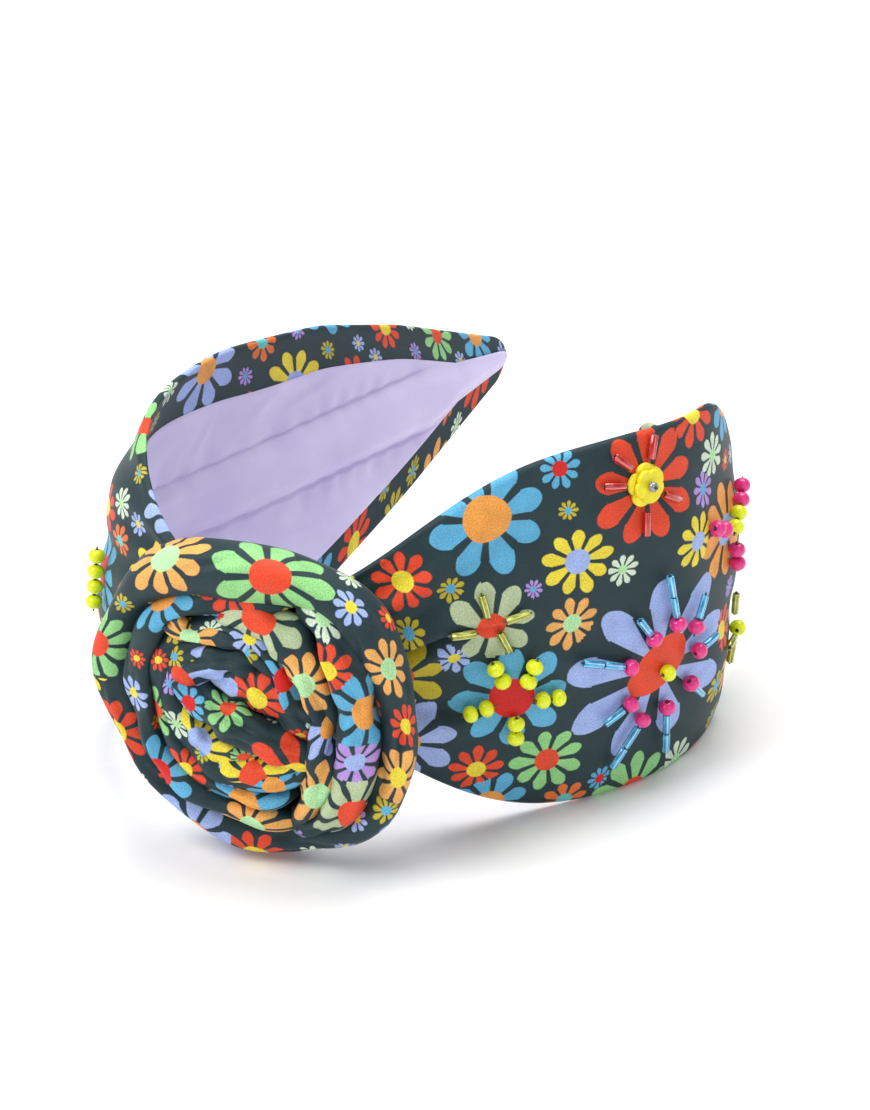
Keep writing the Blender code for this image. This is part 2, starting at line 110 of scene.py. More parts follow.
def hoop_at(along):
    """(points, outward normals, tangents) of the hoop's centre line, as arrays."""
    distance, points, heading = HOOP
    along = np.asarray(along, float)
    angle = np.interp(along, distance, heading)
    x, y = np.interp(along, distance, points[:, 0]), np.interp(along, distance, points[:, 1])
    level = np.full_like(x, HOOP_HEIGHT)
    normal = np.stack([np.sin(angle), -np.cos(angle), np.zeros_like(angle)], axis=-1)
    tangent = np.stack([np.cos(angle), np.sin(angle), np.zeros_like(angle)], axis=-1)
    return np.stack([x, y, level], axis=-1) + OFFSET, normal, tangent


def smoothed(table, where):
    """A table's value with its corners rounded over a few millimetres."""
    stations, heights = zip(*table)
    shifts = np.linspace(-ROUNDING, ROUNDING, 9)
    weights = np.cos(shifts / ROUNDING * math.pi / 2) ** 2 + 0.02
    total = sum(w * np.interp(where + shift, stations, heights) for shift, w in zip(shifts, weights))
    return total / weights.sum()


def half_height(along, above):
    """Height of the band's edge above (or below) the hoop."""
    along = np.asarray(along, float)
    near = smoothed(NEAR_RISE if above else NEAR_DROP, NEAR_LENGTH - along)
    far = smoothed(FAR_RISE if above else FAR_DROP, FAR_LENGTH + along)
    gather = np.clip(1.0 - (along / PINCH_END) ** 2, 0.0, None) ** PINCH_FALL
    return np.where(along >= 0, near, far) * (1 - gather) + PINCH_HALF * gather


def place(along, across, outward):
    """Points of the band: across is height from the hoop, outward is from the crowned surface."""
    given = [np.asarray(value, float) for value in (along, across, outward)]
    along, across, outward = np.broadcast_arrays(*given)
    rise, drop = half_height(along, True), half_height(along, False)
    share = np.clip((across - (rise - drop) / 2) / ((rise + drop) / 2), -1.0, 1.0)
    crown = CROWN_RATIO * (rise + drop) * (1 - share * share)
    spread = np.exp(-(((along - BULGE_MIDDLE) / BULGE_REACH) ** 2))
    bulge = FAR_BULGE * spread * (1 - ((1 + share) / 2) ** 2)
    point, normal, _ = hoop_at(along)
    lifted = point + normal * (outward + crown + bulge)[..., None]
    lifted[..., 2] += across
    return lifted


def find_offset():
    """Shift from the knot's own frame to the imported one, from where the record has a flex axis."""
    pivot = np.array(BRANCHES["near_arm"]["pos_m"])
    return pivot - place(SEAM, 0.0, FLEX_AXIS)


OFFSET = find_offset()

# ---- colours of the print, as matched ----
GROUND = (0.012, 0.034, 0.041)
RED = (0.74, 0.060, 0.018)
DEEP_RED = (0.62, 0.014, 0.010)
ORANGE = (0.80, 0.33, 0.06)
PEACH = (0.80, 0.39, 0.10)
YELLOW = (0.80, 0.64, 0.04)
MUSTARD = (0.52, 0.42, 0.02)
SKY = (0.10, 0.39, 0.62)
LAVENDER = (0.34, 0.44, 0.78)
LILAC = (0.42, 0.26, 0.66)
LIME = (0.27, 0.60, 0.22)
PALE_GREEN = (0.42, 0.72, 0.36)
SAGE = (0.44, 0.53, 0.32)
MINT = (0.62, 0.74, 0.58)
TEAL = (0.12, 0.50, 0.50)

# Kinds of printed flower: petals, petal colour, heart colour, heart's share of the radius.
KINDS = {
    "sky_big": (8, SKY, ORANGE, 0.38), "red_small": (9, RED, YELLOW, 0.33),
    "red_button": (9, RED, YELLOW, 0.30), "yellow_mid": (9, YELLOW, LAVENDER, 0.34),
    "orange_mid": (9, PEACH, PALE_GREEN, 0.33), "sage_big": (8, SAGE, RED, 0.33),
    "lime_big": (9, LIME, RED, 0.31), "lilac_small": (9, LILAC, SKY, 0.30),
    "mint_small": (9, MINT, PALE_GREEN, 0.28), "yellow_small": (9, MUSTARD, SKY, 0.34),
    "sky_small": (9, SKY, DEEP_RED, 0.36), "lav_small": (8, LAVENDER, YELLOW, 0.30),
    "lav_big": (8, LAVENDER, ORANGE, 0.30), "aster": (9, LAVENDER, RED, 0.36),
    "sky_red": (8, SKY, DEEP_RED, 0.36), "peach_lav": (8, ORANGE, LAVENDER, 0.30),
    "teal_small": (8, (0.75, 0.16, 0.03), TEAL, 0.34), "mustard_half": (8, MUSTARD, RED, 0.32),
    "orange_yellow": (8, PEACH, YELLOW, 0.30), "yellow_red": (9, YELLOW, RED, 0.34),
    "purple": (9, LILAC, LAVENDER, 0.32),
}

# The print's flowers where the near arm shows them: kind, (along, across) and radius in mm, turn.
NEAR_FLOWERS = (
    ("sky_big", 50.3, 33.2, 14.4, 4), ("red_button", 88.2, 33.9, 14.8, 17),
    ("sky_small", 67.3, 42.3, 4.9, 10), ("yellow_mid", 70.4, 20.1, 8.6, 12),
    ("red_small", 31.6, 20.6, 6.9, 5), ("yellow_small", 41.7, 18.2, 3.2, 0),
    ("yellow_small", 32.5, 9.2, 3.5, 8), ("lilac_small", 59.9, 15.6, 2.3, 0),
    ("mint_small", 81.2, 15.3, 4, 9), ("yellow_mid", 101.1, 15.7, 6.8, 0),
    ("red_small", 105.7, 44.9, 8.8, 15), ("mint_small", 111.4, 31.8, 5.6, 20),
    ("lilac_small", 106.1, 26, 4.6, 14), ("peach_lav", 115.1, 11.5, 12.5, 22),
    ("sky_big", 122.6, 40.1, 9.4, 10), ("sage_big", 50.1, 8.6, 11, 14), ("orange_mid", 68.9, 5.2, 6.8, 3),
    ("aster", 90.6, -12.2, 24.5, 12), ("sky_red", 55, -10.8, 14, 20), ("lime_big", 64.1, -30.3, 9.2, 3),
    ("red_small", 47.6, -29.9, 6.7, 14), ("lav_small", 42.2, 0.8, 4.6, 9),
    ("mustard_half", 30.4, -3.7, 10.8, 8), ("lav_big", 31.4, -20.6, 12.2, 12),
    ("sky_big", 51.1, -40.5, 9.6, 6), ("teal_small", 69.1, -43.2, 6, 11),
    ("lime_big", 87.6, -46.5, 12, 16), ("mint_small", 101.5, -44, 6, 5),
    ("red_small", 113.2, -13.7, 6.7, 4), ("yellow_small", 113.5, -29, 4.6, 4),
    ("orange_yellow", 121.5, -28, 7.2, 9), ("yellow_small", 119, -41, 3.9, 12),
    ("sky_small", 77.5, -39, 3.4, 2), ("sage_big", 128, -12.5, 8.6, 5),
    ("mint_small", 79.5, 27.5, 2.2, 5),
)
# The same for the far arm, inside edge and outside near the knot.
FAR_FLOWERS = (
    ("lav_big", -85, 43.5, 12, 6), ("teal_small", -105.6, 39, 5.6, 11),
    ("yellow_mid", -118.5, 51, 10.5, 3), ("red_small", -150.8, 28, 6, 6),
    ("lime_big", -171.5, 20.5, 7, 12), ("sky_big", -187.5, 12, 8, 0), ("lime_big", -53.5, 37, 9, 8),
    ("sky_big", -69, 22, 11.5, 4), ("red_small", -51, 16.5, 6.2, 13), ("lilac_small", -60, 10, 4.4, 3),
    ("sky_red", -49, 1, 9.5, 5), ("mint_small", -43, 22, 3.8, 7), ("yellow_mid", -66, -6.5, 8.2, 6),
    ("orange_mid", -52, -17, 7.2, 9), ("red_small", -137, -36.5, 7.6, 10),
    ("yellow_small", -152, -27, 5, 3), ("sky_big", -121, -41, 9, 5),
)


# ---- meshes and attributes ----
def add_object(name, data):
    obj = bpy.data.objects.new(name, data)
    bpy.context.scene.collection.objects.link(obj)
    return obj


def mesh_object(name, points, faces):
    mesh = bpy.data.meshes.new(name)
    mesh.from_pydata([tuple(p) for p in points], [], [tuple(f) for f in faces])
    mesh.update()
    mesh.shade_smooth()
    return add_object(name, mesh)


def object_from(bm, name, materials, crease_degrees=None):
    """Closes off a piece built in bmesh, with its materials in the order of their indices."""
    bmesh.ops.recalc_face_normals(bm, faces=bm.faces)
    mesh = bpy.data.meshes.new(name)
    bm.to_mesh(mesh)
    bm.free()
    if crease_degrees:
        mesh.set_sharp_from_angle(angle=math.radians(crease_degrees))
    for finish in materials:
        mesh.materials.append(finish)
    return add_object(name, mesh)


def grid_faces(rows, columns, wrap_rows=False, wrap_columns=False):
    """Quads over a grid of points, closed round on itself in either direction where asked."""
    row_end = rows if wrap_rows else rows - 1
    column_end = columns if wrap_columns else columns - 1
    row, column = np.meshgrid(np.arange(row_end), np.arange(column_end), indexing="ij")
    next_row, next_column = (row + 1) % rows, (column + 1) % columns
    quads = [row * columns + column, row * columns + next_column, next_row * columns + next_column,
             next_row * columns + column]
    return np.stack(quads, axis=-1).reshape(-1, 4)


def store(obj, name, values, domain="FACE"):
    attribute = obj.data.attributes.new(name, "FLOAT_VECTOR", domain)
    attribute.data.foreach_set("vector", np.asarray(values, np.float32).ravel())


def store_place(obj, uv):
    """Each point's place on the flat cloth in mm, for the cloth shaders."""
    store(obj, "print_place", np.column_stack([uv, np.zeros(len(uv))]), "POINT")


# ---- the print ----
PETAL_WIDEST = 0.72          # where along its length a petal is widest
HALF_WIDTH = 0.80            # how much of its sector a petal fills
SLIM = 0.68                  # the same for the largest flower
CLEAR = 0.55                 # gap that the print leaves between flowers, in mm
SIZE_SPREAD = (0.88, 1.12)
# Radius in mm, places tried on each square centimetre, and the kinds of that size.
SIZES = (
    (11.5, 0.16, ("sky_big", "lime_big", "sage_big", "peach_lav", "sky_red", "lav_big")),
    (8.6, 0.55, ("yellow_mid", "orange_mid", "lime_big", "lav_big", "red_small")),
    (6.4, 1.8, ("red_small", "yellow_mid", "orange_mid", "sky_red", "purple")),
    (4.3, 7.0, ("lav_small", "mint_small", "yellow_small", "teal_small", "sky_small", "red_small")),
    (2.7, 24.0, ("lilac_small", "yellow_small", "mint_small", "lav_small", "red_small")),
)


def scatter(rng, fixed, bounds, sizes=SIZES):
    """Fills a rectangle with flowers that keep clear of each other, large ones first."""
    flowers = list(fixed)
    low, high = np.array(bounds[::2], float), np.array(bounds[1::2], float)
    area = np.prod(high - low) / 100
    for radius, density, kinds in sizes:
        spots = rng.uniform(low, high, size=(int(area * density) + 1, 2))
        for spot in spots:
            size, turn = radius * rng.uniform(*SIZE_SPREAD), rng.uniform(0, 40)
            kind = kinds[int(rng.integers(len(kinds)))]
            taken = np.array([flower[1:4] for flower in flowers] or [(1e6, 0.0, 0.0)])
            room = (np.hypot(taken[:, 0] - spot[0], taken[:, 1] - spot[1]) - taken[:, 2]).min()
            if room > size + CLEAR:
                flowers.append((kind, spot[0], spot[1], size, turn))
    return flowers


def owner_of(points, flowers):
    """For each (u, v) in mm the flower whose outline is nearest."""
    centres = np.array([(f[1], f[2]) for f in flowers])
    radii = np.array([f[3] for f in flowers])
    best = np.full(len(points), 1e9)
    owner = np.zeros(len(points), int)
    for index, (centre, radius) in enumerate(zip(centres, radii)):
        away = np.hypot(points[:, 0] - centre[0], points[:, 1] - centre[1]) - radius
        nearer = away < best
        best[nearer] = away[nearer]
        owner[nearer] = index
    return owner


PRINT_ROWS = ("flower_place", "flower_form", "flower_heart", "petal_colour", "heart_colour")


def print_flowers(obj, uv, flowers):
    """Stores each face's flower on the mesh for the print's shader; uv is each point's place in mm."""
    store_place(obj, uv)
    corners = np.zeros(len(obj.data.polygons) * 4, int)
    obj.data.polygons.foreach_get("vertices", corners)
    middle = uv[corners.reshape(-1, 4)].mean(axis=1)
    owner = owner_of(middle, flowers)
    rows = {name: [] for name in PRINT_ROWS}
    for kind, u, v, radius, turn in flowers:
        petals, petal_colour, heart_colour, heart = KINDS[kind]
        width, squeeze, lean = (SLIM, 1.45, -35) if kind == "aster" else (HALF_WIDTH, 1.0, 0)
        form = (petals, math.radians(turn), width * math.pi / petals)
        middle_form = (heart, squeeze, math.radians(lean))
        for name, value in zip(PRINT_ROWS, ((u, v, radius), form, middle_form, petal_colour, heart_colour)):
            rows[name].append(value)
    for name, values in rows.items():
        store(obj, name, np.array(values)[owner])


# ---- materials ----
class Nodes:
    """Short names for building a node tree."""

    def __init__(self, name):
        self.material = bpy.data.materials.new(name)
        self.material.use_nodes = True
        self.tree = self.material.node_tree
        self.shader = self.tree.nodes["Principled BSDF"]

    def add(self, kind, **settings):
        node = self.tree.nodes.new(kind)
        for key, value in settings.items():
            setattr(node, key, value)
        return node

    def link(self, source, target):
        self.tree.links.new(source, target)

    def feed(self, socket, value):
        if hasattr(value, "is_output"):
            self.link(value, socket)
        else:
            socket.default_value = value

    def math(self, operation, first, second=None):
        node = self.add("ShaderNodeMath", operation=operation)
        self.feed(node.inputs[0], first)
        if second is not None:
            self.feed(node.inputs[1], second)
        return node.outputs[0]

    def attribute(self, name):
        node = self.add("ShaderNodeAttribute", attribute_name=name, attribute_type="GEOMETRY")
        return node.outputs["Vector"]

    def length(self, first, second):
        """The hypotenuse over two values."""
        squares = [self.math("POWER", side, 2.0) for side in (first, second)]
        return self.math("SQRT", self.math("ADD", *squares))

    def grey(self, value):
        """A grey of this value as a colour."""
        node = self.add("ShaderNodeCombineColor")
        for socket in node.inputs[:3]:
            self.link(value, socket)
        return node.outputs[0]

    def drive(self, name, value):
        """Sets one of the shader's own sockets, to a constant or from another node."""
        self.feed(self.shader.inputs[name], value)

    def split(self, vector):
        node = self.add("ShaderNodeSeparateXYZ")
        self.link(vector, node.inputs[0])
        return node.outputs

    def mix(self, share, first, second, blend="MIX"):
        node = self.add("ShaderNodeMix", data_type="RGBA", blend_type=blend)
        self.feed(node.inputs[0], share)
        self.feed(node.inputs[6], first)
        self.feed(node.inputs[7], second)
        return node.outputs[2]

    def noise(self, vector, scale, detail=2.0, roughness=0.5):
        node = self.add("ShaderNodeTexNoise")
        self.link(vector, node.inputs["Vector"])
        node.inputs["Scale"].default_value = scale
        node.inputs["Detail"].default_value = detail
        node.inputs["Roughness"].default_value = roughness
        return node.outputs["Fac"]

    def ramp(self, value, low, high, to_low=0.0, to_high=1.0):
        node = self.add("ShaderNodeMapRange")
        self.feed(node.inputs[0], value)
        for index, number in enumerate((low, high, to_low, to_high), start=1):
            self.feed(node.inputs[index], number)
        return node.outputs[0]

    def bump(self, height, strength, distance):
        """Bumps the shader's normal by this height."""
        node = self.add("ShaderNodeBump")
        node.inputs["Strength"].default_value = strength
        node.inputs["Distance"].default_value = distance
        self.link(height, node.inputs["Height"])
        self.drive("Normal", node.outputs["Normal"])


def satin_weave(made, place_mm):
    """Height of the satin's fine weave and grain, from a place on the cloth in mm."""
    stretch = made.add("ShaderNodeVectorMath", operation="MULTIPLY")
    made.link(place_mm, stretch.inputs[0])
    stretch.inputs[1].default_value = (2.6, 1.0, 1.0)
    threads = made.noise(stretch.outputs[0], 2.4, 3.0, 0.6)
    grain = made.noise(place_mm, 3.0, 2.0, 0.7)
    return made.math("ADD", made.math("MULTIPLY", threads, 0.6), made.math("MULTIPLY", grain, 0.4)), grain


def petal_edge(made, form, sector, reach):
    """Signed distance to a petal's outline: a wedge from the heart, closed by half an ellipse."""
    sector_width = made.math("DIVIDE", 2 * math.pi, form[0])
    aside = made.math("ABSOLUTE", made.math("MULTIPLY", sector, sector_width))
    aside = made.math("MULTIPLY", aside, reach)
    tip = made.math("MULTIPLY", form[2], PETAL_WIDEST)
    side = made.math("SUBTRACT", made.math("MULTIPLY", reach, form[2]), 0.022)
    wedge = made.math("SUBTRACT", aside, side)
    beyond = made.math("SUBTRACT", reach, PETAL_WIDEST)
    beyond = made.math("MULTIPLY", beyond, made.math("DIVIDE", tip, 1 - PETAL_WIDEST))
    round_end = made.math("SUBTRACT", made.length(aside, beyond), made.math("SUBTRACT", tip, 0.008))
    chosen = made.add("ShaderNodeMix", data_type="FLOAT")
    made.link(made.math("GREATER_THAN", beyond, 0.0), chosen.inputs[0])
    made.link(wedge, chosen.inputs[2])
    made.link(round_end, chosen.inputs[3])
    return chosen.outputs[0]


def petal_length(made, index, flower):
    """Each petal has a length of its own, as a share of the flower's radius."""
    pair = made.add("ShaderNodeCombineXYZ")
    made.link(index, pair.inputs[0])
    made.link(flower[0], pair.inputs[1])
    seed = made.add("ShaderNodeTexWhiteNoise", noise_dimensions="2D")
    made.link(pair.outputs[0], seed.inputs["Vector"])
    return made.math("ADD", 0.90, made.math("MULTIPLY", seed.outputs["Value"], 0.10))


def heart_edge(made, heart, across, up, reach):
    """Signed distance to the heart: a disc, or a leaning oval on the largest flower."""
    lean = made.math("ADD", made.math("ARCTAN2", up, across), heart[2])
    along_lean = made.math("MULTIPLY", made.math("COSINE", lean), reach)
    across_lean = made.math("MULTIPLY", made.math("MULTIPLY", made.math("SINE", lean), reach), heart[1])
    return made.math("SUBTRACT", made.length(along_lean, across_lean), heart[0])


def print_material():
    """Dark satin printed with daisies, each drawn from the flower stored on its face."""
    made = Nodes("printed_satin")
    place_mm = made.attribute("print_place")
    flower, form, heart = (made.split(made.attribute(name)) for name in PRINT_ROWS[:3])
    here = made.split(place_mm)
    across = made.math("SUBTRACT", here[0], flower[0])
    up = made.math("SUBTRACT", here[1], flower[1])
    reach = made.math("DIVIDE", made.length(across, up), flower[2])
    wobble = made.math("SUBTRACT", made.noise(place_mm, 0.35, 1.0), 0.5)
    reach = made.math("ADD", reach, made.math("MULTIPLY", wobble, 0.035))
    angle = made.math("ADD", made.math("ARCTAN2", up, across), form[1])
    turns = made.math("DIVIDE", made.math("MULTIPLY", angle, form[0]), 2 * math.pi)
    turns = made.math("ADD", turns, 40.0)
    index = made.math("FLOOR", turns)
    sector = made.math("SUBTRACT", made.math("SUBTRACT", turns, index), 0.5)
    petal_reach = made.math("DIVIDE", reach, petal_length(made, index, flower))
    soft = made.math("DIVIDE", 0.11, flower[2])
    inward = made.math("MULTIPLY", soft, -1.0)
    petal_mask = made.ramp(petal_edge(made, form, sector, petal_reach), soft, inward)
    heart_mask = made.ramp(heart_edge(made, heart, across, up, reach), soft, inward)
    colour = made.mix(petal_mask, (*GROUND, 1.0), made.attribute("petal_colour"))
    colour = made.mix(heart_mask, colour, made.attribute("heart_colour"))
    # Ink takes unevenly, and the grain of the satin shows through it.
    height, grain = satin_weave(made, place_mm)
    ink = made.ramp(made.noise(place_mm, 0.25, 3.0), 0.3, 0.7, 0.90, 1.08)
    speck = made.ramp(grain, 0.25, 0.75, 0.60, 1.34)
    shade = made.grey(made.math("MULTIPLY", ink, speck))
    made.drive("Base Color", made.mix(1.0, colour, shade, "MULTIPLY"))
    made.drive("Roughness", made.ramp(grain, 0.3, 0.7, 0.50, 0.66))
    made.drive("Specular IOR Level", 0.30)
    made.drive("Sheen Weight", 0.05)
    made.drive("Sheen Roughness", 0.45)
    made.bump(height, 0.35, 0.00012)
    return made.material


def lining_material():
    """Pale lavender satin with a soft sheen and faint slubs."""
    made = Nodes("lavender_lining")
    place_mm = made.attribute("print_place")
    height, grain = satin_weave(made, place_mm)
    cloudy = made.ramp(made.noise(place_mm, 0.06, 4.0), 0.3, 0.7)
    colour = made.mix(cloudy, (0.60, 0.53, 0.80, 1.0), (0.70, 0.64, 0.87, 1.0))
    shade = made.grey(made.ramp(grain, 0.2, 0.8, 0.90, 1.06))
    made.drive("Base Color", made.mix(1.0, colour, shade, "MULTIPLY"))
    made.drive("Roughness", made.ramp(grain, 0.3, 0.7, 0.44, 0.6))
    made.drive("Sheen Weight", 0.25)
    made.drive("Sheen Roughness", 0.4)
    made.bump(height, 0.3, 0.00010)
    return made.material


def speckled_material(name, colour, roughness, scale, depth, specular=0.5, coat=0.0, metallic=0.0,
                      shade=0.86):
    """Moulded or fibrous stuff: colour mottled by noise, with a fine bump."""
    made = Nodes(name)
    where = made.add("ShaderNodeTexCoord").outputs["Object"]
    fine = made.noise(where, scale, 3.0)
    darker = tuple(channel * shade for channel in colour)
    mottle = made.ramp(fine, 0.3, 0.7)
    made.drive("Base Color", made.mix(mottle, (*darker, 1.0), (*colour, 1.0)))
    made.drive("Roughness", made.ramp(fine, 0.3, 0.7, roughness * 0.9, roughness * 1.15))
    made.drive("Specular IOR Level", specular)
    made.drive("Coat Weight", coat)
    made.drive("Metallic", metallic)
    made.bump(fine, 0.25, depth)
    return made.material


def tube_glass_material(name, colour, glint_tint, stripe):
    """A cut glass tube bead over its lining: lengthways facets, each with a painted highlight, a pale glint
    mixed into its colour.
    """
    made = Nodes(name)
    around = made.split(made.attribute("bead_place"))[1]
    facet = made.math("FRACT", made.math("MULTIPLY", around, stripe))
    glint = made.ramp(made.math("ABSOLUTE", made.math("SUBTRACT", facet, 0.5)), 0.28, 0.42)
    where = made.add("ShaderNodeTexCoord").outputs["Object"]
    cloudy = made.noise(where, 900.0, 2.0)
    darker = tuple(channel * 0.6 for channel in colour)
    base = made.mix(made.ramp(cloudy, 0.35, 0.65), (*colour, 1.0), (*darker, 1.0))
    # Painted highlight: each facet's pale glint is mixed into the base colour.
    made.drive("Base Color", made.mix(made.math("MULTIPLY", glint, 0.75), base, (*glint_tint, 1.0)))
    made.drive("Roughness", made.ramp(cloudy, 0.3, 0.7, 0.10, 0.22))
    made.drive("Metallic", 0.25)
    made.drive("Specular IOR Level", 0.8)
    made.drive("Coat Weight", 0.8)
    made.drive("Coat Roughness", 0.06)
    made.bump(glint, 0.3, 0.0001)
    return made.material


PRINT = print_material()
LINING = lining_material()


# ---- the cloth's folds ----
def bell(value, middle, reach):
    """A smooth hump of height 1 at the middle."""
    return np.exp(-(((value - middle) / reach) ** 2))


def ripples(along, across, waves):
    """Sum of slanted sine waves: (wavelength along, wavelength across, height, start) in mm."""
    total = np.zeros(np.broadcast(along, across).shape)
    for long, wide, height, start in waves:
        phase = 2 * math.pi * (along / MM / long + across / MM / wide) + start
        total = total + height * MM * np.sin(phase)
    return total


SOFT_WAVES = (
    (46, 90, 0.42, 0.4), (31, -70, 0.30, 1.9), (74, 38, 0.40, 2.7), (23, 60, 0.16, 4.2),
    (52, 17, 0.20, 1.3),
)
GATHER_END = 0.088           # where along the arms the knot's gathers have faded out


def gathers(along, share):
    """Folds that run out of the knot and fade along the arm."""
    fade = np.clip(1 - np.abs(along) / GATHER_END, 0, 1) ** 1.3
    swing = share + 0.25 * np.sin(along / 0.013)
    broad = 0.0018 * np.sin(9.5 * swing + 0.7)
    fine = 0.0010 * np.sin(21.0 * swing + 2.0 + along / 0.009)
    return fade * (broad + fine)


PLEAT_END = 0.062
PLEAT_FADE = 0.022
PLEAT_LEVEL = 0.0090         # height of the pleat's line where it runs straight
PLEAT_BEND = 22.0            # how fast the line drops towards the knot, from the place below
PLEAT_STRAIGHT = 0.046
LAP_RISE = 0.0021
LAP_SINK = 0.0032
PLEAT_SOFT = 0.0004          # how sharply the upper cloth turns under at its edge
LAP_OVER = 0.0030            # how far the upper cloth hangs over the lower
CREASE_LEVEL = -0.0128       # the fainter crease below the pleat
CREASE_SLOPE = -0.10
CREASE_DEPTH = 0.0013
CREASE_END = 0.054


def pleat(along, across):
    """Shifts (outward, upward) of the near arm's deep pleat, where the upper cloth laps the lower."""
    above = across - PLEAT_LEVEL + PLEAT_BEND * np.clip(PLEAT_STRAIGHT - along, 0, None) ** 2
    fade = np.clip((PLEAT_END - along) / PLEAT_FADE, 0, 1) * (along > 0)
    higher, lower = np.clip(above, 0, None), np.clip(-above, 0, None)
    upper = 1 / (1 + np.exp(-above / PLEAT_SOFT))
    lap = upper * LAP_RISE * np.exp(-higher / 0.007) - (1 - upper) * LAP_SINK * np.exp(-lower / 0.0042)
    hang = LAP_OVER * (0.4 * (1 - upper) * np.exp(-lower / 0.0030) - upper * np.exp(-higher / 0.0030))
    crease_line = CREASE_LEVEL + CREASE_SLOPE * (along - 0.035)
    crease_fade = np.clip((CREASE_END - along) / 0.02, 0, 1) * (along > 0)
    crease = CREASE_DEPTH * bell(across, crease_line, 0.0020) * crease_fade
    return fade * lap - crease, fade * hang


def cloth_relief(along, across):
    """Height of the cover's waves, gathers and pleat; the waves calm down towards both edges."""
    rise, drop = half_height(along, True), half_height(along, False)
    share = (across - (rise - drop) / 2) / ((rise + drop) / 2)
    inside = np.clip(1 - share ** 8, 0, 1)
    return (ripples(along, across, SOFT_WAVES) + gathers(along, share)) * inside + pleat(along, across)[0]


# ---- covers ----
LINING_LAP = 0.0020          # how far the turned print runs on under the lining
EDGE_ROUND = 0.0011          # half thickness of the band's rounded edges
FLAP = 0.0085                # width of print turned over onto the inside
FLAP_EXTRA = 0.0050          # how much wider the far arm's upper turned edge is at its widest
FLAP_WIDEST = -0.100
FLAP_REACH = 0.042
FLAP_DEPTH = -0.0012         # where the turned edge lies, outward from the crowned surface
TIP_ROUND = 0.0055           # length over which each arm's end is rounded off
BAND_ROWS = 320              # stations of a sheet along its arm


def tip_round(along):
    """Scale that rounds each arm's end off."""
    left = np.where(along >= 0, NEAR_LENGTH - along, FAR_LENGTH + along)
    short = np.clip(1 - left / TIP_ROUND, 0, 1)
    return np.sqrt(np.clip(1 - short ** 2, 0, 1))


def flap_width(along, tall, above):
    """Width of the print turned over each edge of a band of this height."""
    extra = FLAP_EXTRA * bell(along, FLAP_WIDEST, FLAP_REACH) if above else 0.0
    return np.minimum(FLAP + extra, 0.30 * tall)


def cover_section(along, columns=(12, 7, 150)):
    """(across, outward, cloth coordinate) of the section from one turned edge to the other."""
    flap_points, round_points, face_points = columns
    rise, drop = float(half_height(along, True)), float(half_height(along, False))
    scale = float(tip_round(along))
    low, high = -drop * scale, rise * scale
    radius = min(EDGE_ROUND, 0.3 * (high - low) + 1e-6)
    low_width = float(flap_width(along, high - low, False)) + LINING_LAP
    high_width = float(flap_width(along, high - low, True)) + LINING_LAP
    turn = np.linspace(0, 1, flap_points, endpoint=False)
    angle = np.linspace(0, math.pi, round_points, endpoint=False)
    edge = COVER_OUT - radius
    inner = edge - radius
    depth = FLAP_DEPTH * scale + inner * (1 - scale)
    low_across = low + radius + (low_width - radius) * (1 - turn)
    low_flap = np.stack([low_across, depth + (inner - depth) * turn ** 0.7], 1)
    low_turn = np.stack([low + radius - radius * np.sin(angle), edge - radius * np.cos(angle)], 1)
    face_across = np.linspace(low + radius, high - radius, face_points, endpoint=False)
    face = np.stack([face_across, np.full(face_points, COVER_OUT)], 1)
    high_turn = np.stack([high - radius + radius * np.sin(angle), edge + radius * np.cos(angle)], 1)
    back = np.linspace(0, 1, flap_points)
    high_across = high - radius - (high_width - radius) * back
    high_flap = np.stack([high_across, inner + (depth - inner) * back ** 1.4], 1)
    section = np.concatenate([low_flap, low_turn, face, high_turn, high_flap])
    steps = np.hypot(*np.diff(section, axis=0).T)
    travelled = np.concatenate([[0.0], np.cumsum(steps)])
    start = flap_points + round_points
    cloth = travelled - travelled[start] + section[start, 0]
    return section, cloth


def build_cover(name, start, end, flowers):
    """One arm's printed cloth from under the knot to the tip, turned over both edges."""
    stations = np.linspace(start, end, BAND_ROWS)
    sections = [cover_section(s) for s in stations]
    across = np.array([section[:, 0] for section, _ in sections])
    outward = np.array([section[:, 1] for section, _ in sections])
    cloth = np.array([coordinate for _, coordinate in sections])
    along = np.repeat(stations[:, None], across.shape[1], axis=1)
    facing = np.clip((outward - (COVER_OUT - 2 * EDGE_ROUND)) / (2 * EDGE_ROUND), 0, 1)
    lifted = across + pleat(along, across)[1] * facing
    points = place(along, lifted, outward + cloth_relief(along, across) * facing)
    faces = grid_faces(BAND_ROWS, across.shape[1])
    if end < start:
        faces = faces[:, ::-1]
    obj = mesh_object(name, points.reshape(-1, 3), faces)
    uv = np.stack([along, cloth], axis=-1).reshape(-1, 2) / MM
    print_flowers(obj, uv, flowers)
    obj.data.materials.append(PRINT)
    return obj


# ---- linings ----
LINING_OUT = -0.0017         # where the lining lies, outward from the crowned surface
CHANNEL = 0.0027             # how far the hoop's channel stands out of the lining
CHANNEL_HALF = 0.0066
SEAM_LINE = 0.0088           # the sewn lines beside the channel
LINING_WAVES = ((58, -60, 0.60, 0.3), (33, 48, 0.42, 1.1), (21, -95, 0.26, 2.2), (13, 70, 0.12, 0.9))
# Soft creases of the lining: (along, across, angle in degrees, length, depth), all in mm.
CREASES = (
    (-112, 22, -28, 11, 0.9), (-128, 17, -12, 13, 1.0), (-98, -17, 24, 12, 0.6), (-84, 14, -62, 9, 0.7),
    (-146, 11, -8, 12, 0.6), (-120, -20, 12, 14, 0.5), (-70, -14, 40, 10, 0.6), (58, 18, 35, 10, 0.6),
    (84, -20, -20, 13, 0.7), (112, 19, 14, 12, 0.8), (139, -13, -9, 11, 0.5), (97, 15, -40, 9, 0.5),
)


